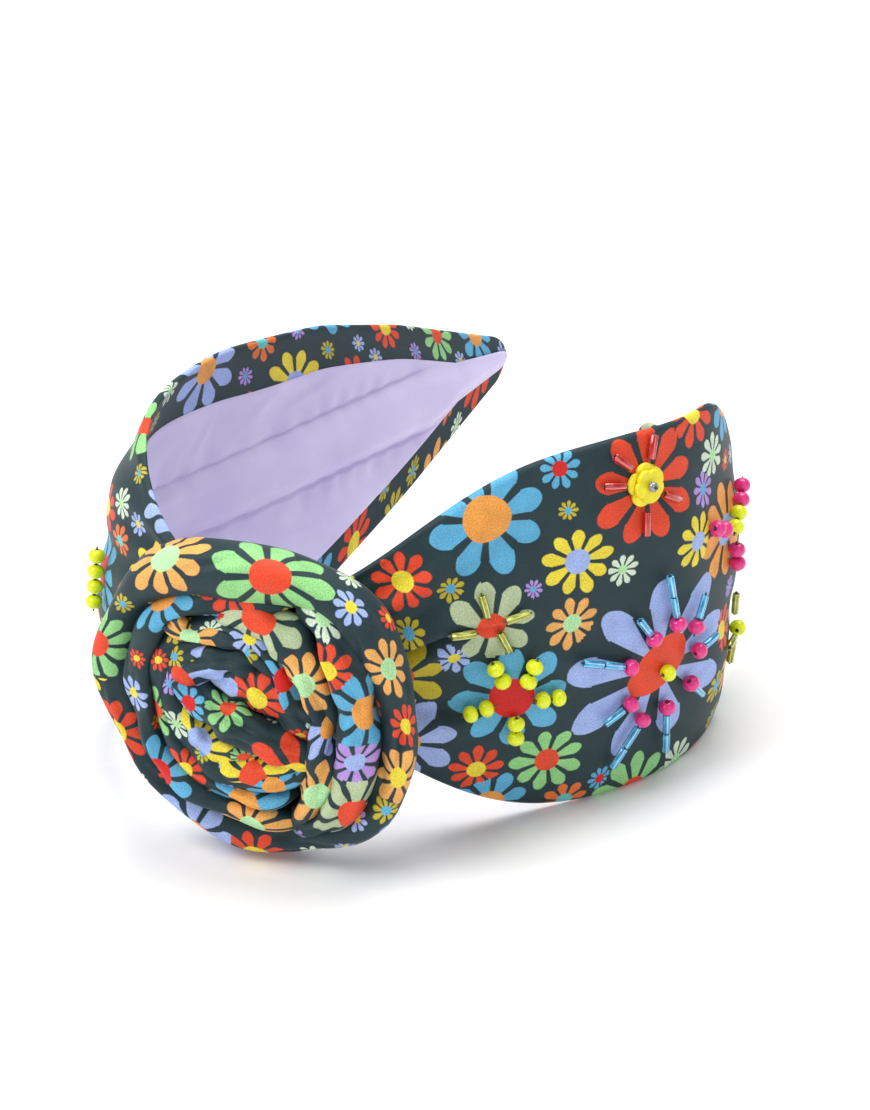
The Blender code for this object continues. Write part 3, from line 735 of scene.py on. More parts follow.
def creases(along, across):
    """Height of the lining's creases, each a ridge with a dip beside it."""
    total = np.zeros(np.broadcast(along, across).shape)
    for middle, height, angle, length, depth in CREASES:
        a, b = along / MM - middle, across / MM - height
        cosine, sine = math.cos(math.radians(angle)), math.sin(math.radians(angle))
        run, side = a * cosine + b * sine, b * cosine - a * sine
        total += depth * MM * bell(run, 0, length) * (bell(side, 0, 1.5) - 0.5 * bell(side, 2.6, 1.6))
    return total


def lining_relief(along, across, scale):
    """The hoop's channel between two sewn lines, and the lining's own slack."""
    channel = CHANNEL * scale / (1 + np.exp((np.abs(across) - CHANNEL_HALF * scale) / 0.0007))
    seams = 0.0008 * scale * bell(np.abs(across), SEAM_LINE * scale, 0.0006)
    pucker = 0.00030 * np.sin(along / 0.0013 + 3 * np.sin(along / 0.011))
    pucker = pucker * bell(np.abs(across), 0.0105, 0.0035)
    away = np.clip((np.abs(across) - 0.011) / 0.010, 0, 1)
    slack = ripples(along, across, LINING_WAVES) + creases(along, across)
    return channel - seams + pucker + away * slack


def build_lining(name, start, end, columns=110):
    """One arm's lining between the cover's two turned edges."""
    stations = np.linspace(start, end, BAND_ROWS)
    along = np.repeat(stations[:, None], columns, axis=1)
    scale = tip_round(stations)
    rise, drop = half_height(stations, True) * scale, half_height(stations, False) * scale
    share = np.linspace(0, 1, columns)
    low = flap_width(stations, rise + drop, False) - drop
    high = rise - flap_width(stations, rise + drop, True)
    across = low[:, None] * (1 - share) + high[:, None] * share
    narrow = np.clip(np.minimum(rise, drop) / 0.016, 0.25, 1.0)[:, None]
    from_edge = np.minimum(share, 1 - share) * (high - low)[:, None]
    tuck = 0.0006 * np.exp(-from_edge / 0.0003)
    calm = 1 - np.exp(-((from_edge / 0.0035) ** 2))
    depth = LINING_OUT - lining_relief(along, across, narrow) * calm + tuck
    settled = (COVER_OUT - 2 * EDGE_ROUND) * (1 - scale[:, None]) + depth * scale[:, None]
    points = place(along, across, settled)
    faces = grid_faces(BAND_ROWS, columns)
    if end > start:
        faces = faces[:, ::-1]
    obj = mesh_object(name, points.reshape(-1, 3), faces)
    uv = np.stack([along, across], axis=-1).reshape(-1, 2) / MM
    store_place(obj, uv)
    obj.data.materials.append(LINING)
    return obj


BLEND_REACH = (-0.007, 0.012)    # the ends of a stretch about the flex axis, from it
KNOT_START = 0.0001              # each arm's cloth starts this far from the knot's middle


def blend_ends(arm):
    """Points on the hoop at both ends of a stretch about an arm's flex axis."""
    sign = 1 if arm == "near_arm" else -1
    return [tuple(place(sign * (SEAM + shift), 0.0, 0.0)) for shift in BLEND_REACH]


def make_band():
    rng = np.random.default_rng(11)
    arms = (
        ("near_arm", NEAR_LENGTH, NEAR_FLOWERS, (-8, 200, -64, 64)),
        ("far_arm", -FAR_LENGTH, FAR_FLOWERS, (-204, 8, -64, 58)),
    )
    for arm, tip, fixed, bounds in arms:
        flowers = scatter(rng, fixed, bounds)
        near_knot = math.copysign(KNOT_START, tip)
        cover = build_cover(arm.replace("_arm", "_cover_cloth"), near_knot, tip - near_knot, flowers)
        lining = build_lining(arm.replace("_arm", "_lining_cloth"), near_knot, tip - near_knot)
        start, end = blend_ends(arm)
        for piece in (cover, lining):
            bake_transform(piece)
        layers = (arm + "_cover", arm + "_padding", "crown_cover", "crown_padding")
        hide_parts(*layers, arm.replace("arm", "tip_cap"))
        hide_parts(arm + "_lining", "crown_lining", "hoop_core")


# ---- rosette ----
TUCKED_WIDTH = 0.90          # inner folds leave deep gaps between them
FLOOR_LEVEL = -(ROSETTE_LEVEL / MM) + 0.25     # a fold lies flat where it touches the table


def rosette_matrix():
    """X towards the near arm, Y up, Z outward, from the middle of the rosette's back."""
    point, normal, tangent = hoop_at(0.0)
    origin = Vector(point + normal * ROSETTE_BACK + tangent * ROSETTE_SIDE)
    origin.z = ROSETTE_LEVEL + OFFSET[2]
    turn = Matrix((Vector(tangent), Vector((0, 0, 1)), Vector(normal))).transposed().to_4x4()
    return Matrix.Translation(origin) @ turn


# The rosette's folds from the outside in: name, half thickness, tilt in degrees, the route as
# (across, up, outward, half width) in mm, and the flowers that face outward as (kind, across, up,
# radius, turn). A route that ends where it began is a closed ring; the others end tucked under.
FOLDS = (
    ("outer_fold", 8.4, 22, (
        (-30.2, 3, 6.4, 4.4), (-28.2, 15, 7, 4.8), (-21.8, 26, 8.6, 5.6), (-11.6, 31.6, 10, 6),
        (1, 32.8, 10.6, 6.4), (13, 31.6, 9.4, 6), (23.6, 25.6, 7, 5), (30.4, 15, 6.4, 4.4),
        (33.4, 2, 6.2, 4.2), (32.6, -10.8, 6, 4.6), (26, -23, 6, 5.2), (14.5, -30, 6, 5.2),
        (2, -32.2, 6, 4.8), (-10.2, -29.6, 6, 4.6), (-19.6, -22.8, 6.2, 4.4), (-26.6, -11.6, 6.4, 4.2),
        (-30.2, 3, 6.4, 4.4)), (
        ("orange_mid", -16.7, 36, 9.5, 5), ("lime_big", 9, 36.5, 12.8, 12),
        ("lime_big", -34.5, 11, 9.5, 3), ("red_small", -31, -11, 8, 9), ("lav_small", 26.4, 30, 4.4, 0),
        ("orange_mid", 35.5, 16.5, 7, 14), ("lav_big", -13.5, -34.5, 10.5, 2),
        ("red_small", 1.5, -37, 7.6, 16), ("orange_yellow", 36.5, -10.5, 7.5, 4),
        ("yellow_small", 33.5, -19.5, 3.6, 7), ("red_small", 38, 2, 5, 10), ("mint_small", 15, -35, 4, 1))),
    ("second_fold", 6, 18, (
        (17, 29, 4, 3), (8, 28.4, 9, 3.6), (-2.4, 27.6, 11, 4), (-12, 25.4, 12, 3.6),
        (-19.2, 20.6, 12.6, 3.4), (-23.6, 12.6, 12.6, 3.6), (-25, 3.6, 12.4, 3.4), (-24.2, -5, 12, 3),
        (-21.6, -12.8, 12, 3.4), (-16, -19.6, 12, 3.8), (-8.6, -24.2, 12.2, 3.8),
        (-0.6, -26.6, 12.2, 3.4), (7.4, -27.8, 11.6, 3.6), (14, -28, 6, 3)), (
        ("red_small", -1.5, 31.5, 7, 4), ("sky_big", -17.5, 26, 8.6, 10), ("sky_red", -19.5, -18, 10, 3),
        ("orange_mid", 2.5, -27.6, 8.6, 0), ("lav_small", -25, 1, 4.6, 8),
        ("teal_small", -9.5, 29.5, 3.4, 2))),
    ("right_fold", 5.6, -18, (
        (13, 29, 3, 3), (18, 27, 9.6, 3.8), (23, 21, 12.6, 4.2), (26.2, 11.6, 13.4, 4.4),
        (27.2, 0, 13.4, 4.7), (26.2, -12, 13, 5), (21.6, -22.4, 12.2, 4.6), (14.6, -28.2, 8.5, 4),
        (6, -30.6, 2, 3)), (
        ("mint_small", 20.4, 27, 5, 3), ("sky_big", 33, 6, 10, 7), ("purple", 28.2, -5.8, 7.4, 5),
        ("sage_big", 27.6, -20.4, 11, 14), ("red_small", 22, 16, 6.6, 0))),
    ("upper_fold", 5, -24, (
        (-9, 23.4, 4, 2.6), (-2.6, 24.4, 11, 3.2), (5, 24, 13.8, 4), (12, 20.6, 14.8, 4.2),
        (16.8, 14.4, 15, 3.9), (19.4, 7.2, 14, 3.4), (20.8, 1, 10, 3), (21, -4, 3, 2.6)), (
        ("sage_big", 6.6, 26.4, 10.6, 9), ("orange_mid", 17, 12.6, 7.8, 6), ("sky_small", -2.4, 25, 4, 3))),
    ("lower_fold", 4.8, -14, (
        (19.6, 9, 3, 2.2), (19.4, 3.6, 11, 2.8), (19.4, -4.5, 14, 3), (18.6, -13.4, 14.2, 3.6),
        (15.8, -21.6, 12.8, 3.6), (12.4, -27, 8, 3), (9, -30, 1, 2.4)), (
        ("orange_mid", 19.2, -16.6, 9.4, 8), ("lav_big", 21.4, 1, 7.4, 4))),
    ("third_fold", 5, 16, (
        (18.6, -8, 5, 2.4), (16.6, -0.6, 11.6, 2.6), (13.4, 7.2, 13.4, 2.8), (9.4, 14.4, 13.8, 3),
        (4, 19.6, 13.8, 2.8), (-3, 21.4, 13.4, 2.4), (-10, 20, 13, 2.6), (-15.6, 15.6, 12.8, 2.8),
        (-18.8, 9, 12.6, 2.8), (-19.8, 1, 12.4, 2.6), (-18.8, -7, 12.4, 2.6), (-15, -13.8, 12.6, 2.9),
        (-8.8, -18.4, 12.8, 3.2), (-1.4, -20.8, 13, 3.3), (6.6, -21.4, 12.4, 3), (14, -18.6, 5, 2.4)), (
        ("sky_red", 12, 12, 6.6, 3), ("yellow_small", -14, 19, 4, 5), ("lime_big", -19.6, -2, 7, 8),
        ("sky_big", 0.6, -21.6, 9.6, 2), ("lav_small", 4, 21, 4.6, 6), ("red_small", -13, -16, 6, 4))),
    ("pinched_fold", 4, 8, (
        (-20, 18, 7, 1.8), (-16.5, 20.6, 13.6, 2.4), (-10.5, 18.6, 15.2, 2.2), (-4, 19.4, 15, 2.8),
        (3, 17.2, 14.6, 2.8), (8.8, 11.4, 13.4, 2.4), (12.4, 4, 8, 2)), (
        ("orange_mid", -10, 19, 6.8, 3), ("yellow_small", 3.5, 17.5, 3.2, 0))),
    ("fourth_fold", 4.6, 18, (
        (4.6, 15, 7, 2.8), (-2.6, 16.2, 12, 3.2), (-9.6, 14.4, 13.4, 3.6), (-14.8, 9.4, 13.6, 3.8),
        (-16.4, 2.6, 13.4, 3.4), (-15.4, -4.8, 13.2, 3.2), (-11.8, -10.4, 13.4, 3.4),
        (-5.6, -14.6, 13.8, 4), (2, -16.2, 14, 4), (9.4, -15.2, 13.4, 3.6), (15.2, -11, 12, 3.2),
        (18.2, -5, 7, 2.6)), (
        ("sky_red", 15.4, -6.6, 7.4, 5), ("sky_big", 8.6, -16, 7, 6), ("lilac_small", -15.6, 6, 3, 1),
        ("mint_small", -14.6, -4.4, 4.4, 8))),
    ("lavender_fold", 3.8, -30, (
        (-17, -1, 7, 3), (-15.4, 4.6, 12.8, 4.2), (-10.6, 9.6, 14.8, 5), (-4, 12.8, 15.2, 4.6),
        (2.6, 12.8, 14, 3.8), (8.6, 10, 9, 3)), (
        ("aster", -13, 4.6, 15, 20),)),
    ("wide_fold", 3.6, -26, (
        (-9.6, 8, 7, 4.4), (-4.4, 8.4, 12.6, 5.6), (2.4, 7.6, 14.8, 6.8), (9.4, 4.4, 14.8, 6.4),
        (15, -0.8, 13.2, 4.8), (18.6, -6, 8, 3.4)), (
        ("red_small", 6.2, 6.6, 6.8, 5), ("aster", -10, 5.5, 12, 20))),
    ("twist_fold", 4.6, -12, (
        (-14.5, 6.6, 7, 2.2), (-11.6, 4.4, 14, 3), (-5.4, 1.2, 17, 4), (2.6, -2.4, 17.6, 4.6),
        (9.6, -5.8, 16.4, 4.4), (15, -8.6, 13, 3.6), (18.8, -10.6, 7, 2.8)), (
        ("red_button", 14, -11.5, 11.5, 24), ("lime_big", -1, 4.4, 5.6, 6),
        ("sky_red", -9.4, 3.4, 4.2, 2))),
    ("yellow_fold", 3.8, 30, (
        (-15, 2, 7, 2.2), (-13.4, -3, 13, 3), (-9.6, -7.4, 14.8, 3.6), (-4, -9.6, 15.2, 3.6),
        (2, -9.6, 14.4, 3), (6.8, -7, 9, 2.4)), (
        ("yellow_mid", -9.4, -7.2, 9.5, 3), ("lime_big", 2.2, -9.6, 4, 9))),
    ("low_fold", 4, 14, (
        (-12.6, -9.6, 7, 2.6), (-7.4, -12.2, 12.8, 3.4), (-0.6, -13.6, 14.8, 4.2), (6.2, -12.6, 15, 4.2),
        (12, -9.4, 14, 3.4), (16.4, -4.6, 8, 2.8)), (
        ("yellow_red", 4.2, -13.6, 9.4, 14), ("sky_small", -7, -12.6, 3.6, 2))),
)


def smooth_route(points, spacing=0.55):
    """A Catmull-Rom curve through the points, resampled at an even spacing in mm."""
    points = np.array(points, float)
    closed = np.allclose(points[0], points[-1])
    if closed:
        padded = np.concatenate([points[-2:-1], points, points[1:2]])
    else:
        padded = np.concatenate([2 * points[:1] - points[1:2], points, 2 * points[-1:] - points[-2:-1]])
    dense = []
    for a, b, c, d in zip(padded, padded[1:], padded[2:], padded[3:]):
        for t in np.linspace(0, 1, 24, endpoint=False):
            dense.append(0.5 * (2 * b + (c - a) * t + (2 * a - 5 * b + 4 * c - d) * t * t
                                + (3 * b - a - 3 * c + d) * t ** 3))
    dense = np.array(dense + [points[-1]])
    steps = np.linalg.norm(np.diff(dense[:, :3], axis=0), axis=1)
    travelled = np.concatenate([[0.0], np.cumsum(steps)])
    places = np.linspace(0, travelled[-1], max(8, int(travelled[-1] / spacing)), endpoint=not closed)
    route = np.stack([np.interp(places, travelled, dense[:, axis]) for axis in range(4)], axis=1)
    return route[:, :3], route[:, 3], places, closed


CREASE_EVERY = 6.5           # mm of fold for each crease
TUCK_SHARE = 0.10            # share of a fold's length over which each end narrows


def fold_creases(rng, angle, long, length, width, closed):
    """Height of short slanting creases and the soft ridges beside them, in mm."""
    total = np.zeros((len(long), len(angle)))
    for _ in range(int(length / CREASE_EVERY)):
        middle, where = rng.uniform(0, length), rng.uniform(-0.2, math.pi + 0.2)
        slant, reach, depth = rng.uniform(-0.07, 0.07), rng.uniform(5, 15), rng.uniform(0.3, 0.8)
        run = long[:, None] - middle
        if closed:
            run = (run + length / 2) % length - length / 2
        turned_by = (angle[None, :] - where - slant * run + math.pi) % (2 * math.pi) - math.pi
        side = turned_by * width[:, None]
        total -= depth * bell(run, 0, reach) * (bell(side, 0, 0.75) - 0.55 * bell(np.abs(side), 2.0, 1.2))
    return total


def fold_points(rng, route, widths, places, half_thick, tilt, closed, seed, around=60):
    """Skin of a soft flattened roll along a route, creased along its length, in mm."""
    ahead = np.gradient(route, axis=0)
    if closed:
        ahead = np.roll(route, -1, axis=0) - np.roll(route, 1, axis=0)
    ahead /= np.linalg.norm(ahead, axis=1, keepdims=True)
    side = np.cross(ahead, np.array([0.0, 0.0, 1.0]))
    side /= np.linalg.norm(side, axis=1, keepdims=True)
    out = np.cross(side, ahead)
    share = places / places[-1]
    length = places[-1] + places[1]
    turns = 2 * math.pi * share
    sway = np.sin(turns * 2 + seed) + 0.6 * np.sin(turns * 3 + 2.1 * seed)
    lean = np.radians(tilt + 8 * sway)[:, None, None]
    ends = np.ones(len(route))
    if not closed:
        ends = np.clip(np.minimum(share, 1 - share) / TUCK_SHARE, 0.02, 1) ** 0.5
    angle = np.linspace(0, 2 * math.pi, around, endpoint=False)
    cosine, sine = np.cos(angle)[None, :], np.sin(angle)[None, :]
    swell = 1 + 0.07 * np.sin(turns * 5 + seed * 1.7) + 0.05 * np.sin(turns * 8 + seed)
    wide = cosine * (widths * swell)[:, None]
    thick = sine * (half_thick * swell)[:, None]
    reach = np.hypot(wide, thick) + 1e-9
    relief = fold_creases(rng, angle, places, length, widths, closed)
    relief = relief + 0.30 * np.sin(3 * angle[None, :] + (turns * 4)[:, None] + seed)
    grow = (1 + np.maximum(relief, -0.35 * reach) / reach) * ends[:, None]
    wide, thick = wide * grow, thick * grow
    across = side[:, None, :] * np.cos(lean) + out[:, None, :] * np.sin(lean)
    over = out[:, None, :] * np.cos(lean) - side[:, None, :] * np.sin(lean)
    return route[:, None, :] + across * wide[..., None] + over * thick[..., None]


def fold_cloth(points, places):
    """(u, v) of the printed strip in mm: along the fold, and round it from its outward face."""
    around = points.shape[1]
    steps = np.linalg.norm(np.roll(points, -1, axis=1) - points, axis=2).mean(axis=0)
    front = around // 4
    travelled = np.concatenate([[0.0], np.cumsum(np.roll(steps, -front))])[:-1]
    v = np.where(travelled > travelled[-1] / 2, travelled - travelled[-1] - steps.mean(), travelled)
    v = np.roll(v, front)
    u = np.repeat(places[:, None], around, axis=1)
    return np.stack([u, np.broadcast_to(v, u.shape)], axis=-1)


def facing_flowers(points, uv, wanted):
    """Where the chosen flowers fall on a fold's strip: the outward point nearest to each middle."""
    flat, strip = points.reshape(-1, 3), uv.reshape(-1, 2)
    found = []
    for kind, across, up, radius, turn in wanted:
        away = np.hypot(flat[:, 0] - across, flat[:, 1] - up) - 0.4 * flat[:, 2]
        u, v = strip[int(np.argmin(away))]
        found.append((kind, u, v, radius, turn))
    return found


def placed(points, matrix):
    """Points in mm of the rosette's frame as places in metres."""
    return np.array([matrix @ Vector(point) for point in points.reshape(-1, 3) * MM])


def build_fold(rng, index, fold, matrix):
    name, half_thick, tilt, route_points, wanted = fold
    route, widths, places, closed = smooth_route(route_points)
    widths = widths * (1.0 if closed else TUCKED_WIDTH)
    points = fold_points(rng, route, widths, places, half_thick, tilt, closed, index + 1.0)
    points[..., 1] = np.maximum(points[..., 1], FLOOR_LEVEL)
    uv = fold_cloth(points, places)
    limits = (-4, uv[..., 0].max() + 4, uv[..., 1].min() - 2, uv[..., 1].max() + 2)
    chosen = facing_flowers(points, uv, wanted)
    flowers = scatter(rng, chosen, limits, SIZES if closed else SIZES[4:])
    rows, around = points.shape[:2]
    faces = grid_faces(rows, around, wrap_rows=closed, wrap_columns=True)
    obj = mesh_object(name, placed(points, matrix), faces[:, ::-1])
    print_flowers(obj, uv.reshape(-1, 2), flowers)
    if not closed:
        close_fold_ends(obj, rows, around)
    obj.data.materials.append(PRINT)
    return obj


def close_fold_ends(obj, rows, around):
    """Caps the two tucked ends, so that the fold is one closed skin."""
    bm = bmesh.new()
    bm.from_mesh(obj.data)
    bm.verts.ensure_lookup_table()
    first = [bm.verts[i] for i in range(around)]
    last = [bm.verts[(rows - 1) * around + i] for i in range(around)]
    bm.faces.new(first)
    bm.faces.new(list(reversed(last)))
    bmesh.ops.recalc_face_normals(bm, faces=bm.faces)
    bm.to_mesh(obj.data)
    bm.free()
    obj.data.shade_smooth()


def build_rosette_back(matrix):
    """Gathered cloth behind the folds: a shallow closed bowl that fills the rosette's depth."""
    rings, around = 18, 120
    share = np.linspace(0.04, 1, rings)
    profile = [(29.0 * s, 7.0 * (1 - 0.2 * s * s)) for s in share]
    profile += [(31.5, 4.0), (30.0, 0.6), (18.0, 0.2), (2.0, 0.2)]
    angle = np.linspace(0, 2 * math.pi, around, endpoint=False)
    flute = 1 + 0.015 * np.sin(17 * angle)
    outline = np.stack([flute * np.cos(angle), 1.04 * flute * np.sin(angle), np.ones(around)], axis=1)
    points = np.array([outline * (radius, radius, level) for radius, level in profile])
    faces = grid_faces(len(profile), around, wrap_columns=True)
    obj = mesh_object("rosette_back", placed(points, matrix), faces)
    # The cloth in there is plain: its only flower lies far outside.
    print_flowers(obj, points[..., :2].reshape(-1, 2), [("red_small", 500.0, 500.0, 1.0, 0)])
    close_fold_ends(obj, len(profile), around)
    obj.data.materials.append(PRINT)
    return obj


def make_rosette():
    matrix = rosette_matrix()
    rng = np.random.default_rng(5)
    back = build_rosette_back(matrix)
    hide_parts("rosette_base")
    stands_for = {"outer_fold": "rosette_outer_roll", "second_fold": "rosette_second_roll",
                  "third_fold": "rosette_third_roll", "fourth_fold": "rosette_inner_roll",
                  "twist_fold": "rosette_heart"}
    pieces = [back]
    for index, fold in enumerate(FOLDS):
        piece = build_fold(rng, index, fold, matrix)
        if fold[0] in stands_for:
            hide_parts(stands_for[fold[0]])
        pieces.append(piece)
    for piece in pieces:
        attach(piece, "crown")


# ---- beadwork ----
BEAD = 0.0020                # radius of a round bead
BEAD_SHARE = 0.85            # its length along the thread against its width
BEAD_SPACE = 0.0004
BUGLE = 0.0009               # radius of a tube bead
BUGLE_LENGTH = 0.0055
SEED = 0.0012
GAP = 0.0003
RESTING = GAP * 0.3          # how far a bead stands off the cloth
BUTTON_PETALS = 5
BUTTON_REACH = 0.0051
BUTTON_THICK = 0.0010
BUTTON_MIDDLE = (0.0872, 0.0343)
PAIR = ("round", "round")
ROOT_AND_ONE = ("round", "bugle")
ROOT_AND_TWO = ("round", "bugle", "bugle")
BUGLE_ALONE = ("bugle",)
# Groups of stitches: name, middle (along, across), glass, and for each stitch the direction in degrees
# and distance from the middle where it starts, the direction in which it runs, and its beads.
BEAD_MOTIFS = (
    ("button_bugle", BUTTON_MIDDLE, "red", (
        ((70, 0.0056), 70, BUGLE_ALONE), ((125, 0.0060), 138, BUGLE_ALONE),
        ((165, 0.0056), 168, BUGLE_ALONE), ((-96, 0.0060), -95, BUGLE_ALONE),
        ((-39, 0.0056), -32, BUGLE_ALONE))),
    ("sage_bugle", (0.0500, 0.0090), "olive", (
        ((110, 0.0024), 103, BUGLE_ALONE), ((18, 0.0030), 12, BUGLE_ALONE),
        ((-50, 0.0030), -66, BUGLE_ALONE), ((-160, 0.0036), -178, BUGLE_ALONE))),
    ("sky_pair", (0.0548, -0.0105), "neon", (
        ((114, 0.0042), 116, PAIR), ((58, 0.0040), 68, PAIR), ((-8, 0.0046), -2, PAIR),
        ((-84, 0.0042), -90, PAIR), ((-165, 0.0042), -165, PAIR))),
    ("aster_string", (0.0905, -0.0120), "blue", (
        ((69, 0.0095), 102, ROOT_AND_TWO), ((37, 0.0095), 66, ROOT_AND_ONE), ((0, 0.0080), 6, ROOT_AND_ONE),
        ((-43, 0.0095), -46, ROOT_AND_ONE), ((-79, 0.0100), -82, ROOT_AND_TWO),
        ((-108, 0.0110), -122, ROOT_AND_TWO), ((-137, 0.0085), -153, ROOT_AND_ONE),
        ((156, 0.0070), 160, ROOT_AND_TWO), ((103, 0.0075), 125, ROOT_AND_ONE))),
    ("aster_heart_bead", (0.0895, -0.0132), "neon", (((0, 0.0), 0, ("round",)),)),
    ("amber_string", (0.1158, 0.0120), "pink", (
        ((35, 0.0050), 35, PAIR), ((-82, 0.0046), -82, PAIR), ((155, 0.0050), 155, PAIR))),
    ("amber_heart_pair", (0.1140, 0.0112), "neon", (((0, 0.0), 35, PAIR),)),
    ("poppy_string", (0.1255, -0.0200), "olive", (
        ((95, 0.0040), 95, BUGLE_ALONE), ((-90, 0.0040), -90, BUGLE_ALONE),
        ((180, 0.0040), 180, BUGLE_ALONE))),
    ("poppy_heart_bead", (0.1238, -0.0200), "neon", (((0, 0.0), 0, ("round",)),)),
    ("far_string", (-0.0470, 0.0080), "neon", (((0, 0.0), -86, PAIR + PAIR),)),
)


def bead_materials():
    return {
        "neon": speckled_material("neon_bead", (0.80, 0.88, 0.0), 0.30, 1500, 0.00002, 0.5, 0.35),
        "pink": speckled_material("pink_bead", (0.83, 0.025, 0.24), 0.30, 1500, 0.00002, 0.5, 0.35),
        # Each tube bead's second colour is its painted highlight, the glint on its facets.
        "blue": tube_glass_material("blue_bugle", (0.03, 0.42, 0.80), (0.45, 0.82, 0.97), 6.0),
        "red": tube_glass_material("red_bugle", (0.52, 0.006, 0.010), (0.90, 0.12, 0.09), 5.0),
        "olive": tube_glass_material("olive_bugle", (0.33, 0.36, 0.01), (0.86, 0.88, 0.22), 6.0),
        "thread": speckled_material("sewing_thread", (0.05, 0.07, 0.09), 0.75, 4000, 0.00003),
        "grey": speckled_material("grey_bead", (0.33, 0.34, 0.36), 0.22, 2500, 0.00002, 0.6, 0.4, 0.6),
        "button": speckled_material("yellow_button", (0.93, 0.80, 0.02), 0.42, 700, 0.00006),
    }


def surface_frame(along, across, angle):
    """Matrix on the cover's outer face: X along a string at this angle, Z outward."""
    above = across + np.array((0.0, 0.0015, 0.0030))     # beads sewn by the pleat sit on its upper cloth
    relief = cloth_relief(np.full(above.shape, along), above).max()
    point = Vector(place(along, across, COVER_OUT + relief))
    here = Vector(place(along, across, COVER_OUT))
    run = (Vector(place(along + STEP, across, COVER_OUT)) - here).normalized()
    rise = (Vector(place(along, across + STEP, COVER_OUT)) - here).normalized()
    outward = run.cross(rise).normalized()
    rise = outward.cross(run)
    ahead = run * math.cos(angle) + rise * math.sin(angle)
    side = outward.cross(ahead)
    return Matrix.Translation(point) @ Matrix((ahead, side, outward)).transposed().to_4x4()


def ring_of(bm, where, spots):
    return [bm.verts.new(where @ Vector(spot)) for spot in spots]


def join_rings(bm, rings, material_index=0):
    """Faces between rings in turn, and from the last ring back to the first."""
    for first, second in zip(rings, rings[1:] + rings[:1]):
        for step in range(len(first)):
            after = (step + 1) % len(first)
            face = bm.faces.new((first[step], second[step], second[after], first[after]))
            face.material_index = material_index
            face.smooth = True


def turned(bm, profile, where, lift, material_index, sides):
    """A closed solid of revolution along X from (position, radius) pairs."""
    layer = bm.verts.layers.float_vector["bead_place"]
    turns = [2 * math.pi * step / sides for step in range(sides)]
    rings = []
    for position, radius in profile:
        spots = [(position, radius * math.cos(turn), lift + radius * math.sin(turn)) for turn in turns]
        ring = ring_of(bm, where, spots)
        for step, vertex in enumerate(ring):
            vertex[layer] = Vector((position / MM, step / sides, 0.0))
        rings.append(ring)
    join_rings(bm, rings, material_index)


def bead_mesh():
    bm = bmesh.new()
    bm.verts.layers.float_vector.new("bead_place")
    return bm


def round_bead_profile(start):
    """A round bead with a drilled hole along it."""
    length, hole = 2 * BEAD * BEAD_SHARE, 0.00050
    outline = [(start + length * (1 - math.cos(a)) / 2, max(BEAD * math.sin(a) ** 0.86, hole))
               for a in np.linspace(0.22, math.pi - 0.22, 13)]
    return outline + [(start + length * 0.93, hole), (start + length * 0.07, hole)]


def bugle_profile(start):
    """A cut tube bead with worn rims and a bore."""
    end, bore, rim = start + BUGLE_LENGTH, 0.00042, 0.00012
    mouth = bore + 0.0001
    skin = [(start + rim, BUGLE), (start + BUGLE_LENGTH / 2, BUGLE * 1.01), (end - rim, BUGLE)]
    outline = [(start, mouth), (start, BUGLE - rim), *skin, (end, BUGLE - rim), (end, mouth)]
    return outline + [(end - rim, bore), (start + rim, bore)]


def thread_profile(start, end):
    """A thread with pointed ends that runs on past the beads."""
    thick, fine = 0.00022, 0.00002
    return [(start - 0.0007, fine), (start - 0.0006, thick), (end + 0.0006, thick), (end + 0.0007, fine)]


def bead_length(bead):
    return 2 * BEAD * BEAD_SHARE if bead == "round" else BUGLE_LENGTH


def string_length(beads):
    return sum(bead_length(bead) for bead in beads) + BEAD_SPACE * (len(beads) - 1)


def build_string(name, where, beads, materials):
    """Beads on their thread, centred on the frame; materials are for round beads, tubes and thread."""
    bm = bead_mesh()
    length = string_length(beads)
    lift = (BEAD if "round" in beads else BUGLE) + RESTING
    turned(bm, thread_profile(-length / 2, length / 2), where, lift, 2, 8)
    position = -length / 2
    for bead in beads:
        if bead == "round":
            turned(bm, round_bead_profile(position), where, lift, 0, 28)
        else:
            turned(bm, bugle_profile(position), where, lift, 1, 24)
        position += bead_length(bead) + BEAD_SPACE
    return object_from(bm, name, materials, 50)


def build_button_layer(name, where, reach, low, high, finish):
    """A pressed flower-shaped disc with soft rims, a dished face and a drilled middle."""
    bm = bmesh.new()
    hole, inner, thick = 0.0006, 0.30 * reach, high - low
    bottom = ((hole, low), (inner, low), (0.95, low), (1.0, low + 0.22 * thick))
    top = ((1.0, high - 0.3 * thick), (0.955, high), (0.62, high - 0.00012), (inner, high - 0.00018),
           (hole, high - 0.0002))
    rings = []
    for scale, level in bottom + top:
        spots = []
        for angle in np.linspace(0, 2 * math.pi, 120, endpoint=False):
            lobe = abs(math.cos(BUTTON_PETALS * angle / 2)) ** 0.6
            outline = reach * (1.0 - 0.2 * (1.0 - lobe))
            radius = scale * outline if scale > 0.5 else scale
            spots.append((radius * math.cos(angle), radius * math.sin(angle), level))
        rings.append(ring_of(bm, where, spots))
    join_rings(bm, rings)
    return object_from(bm, name, [finish], 60)


def build_seed(name, where, finishes):
    """The bead that holds the button, standing on its thread."""
    bm = bead_mesh()
    hole = 0.0004
    outline = [(SEED * (1 - math.cos(a)) * 0.8, max(SEED * math.sin(a) ** 0.8, hole))
               for a in np.linspace(0.3, math.pi - 0.3, 11)]
    outline += [(SEED * 1.5, hole), (SEED * 0.1, hole)]
    turned(bm, outline, where, 0.0, 0, 24)
    turned(bm, thread_profile(0.0002, SEED * 1.5), where, 0.0, 1, 8)
    return object_from(bm, name, [finishes["grey"], finishes["thread"]])


def finish_piece(piece, body, node):
    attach(piece, body)
    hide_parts(node)


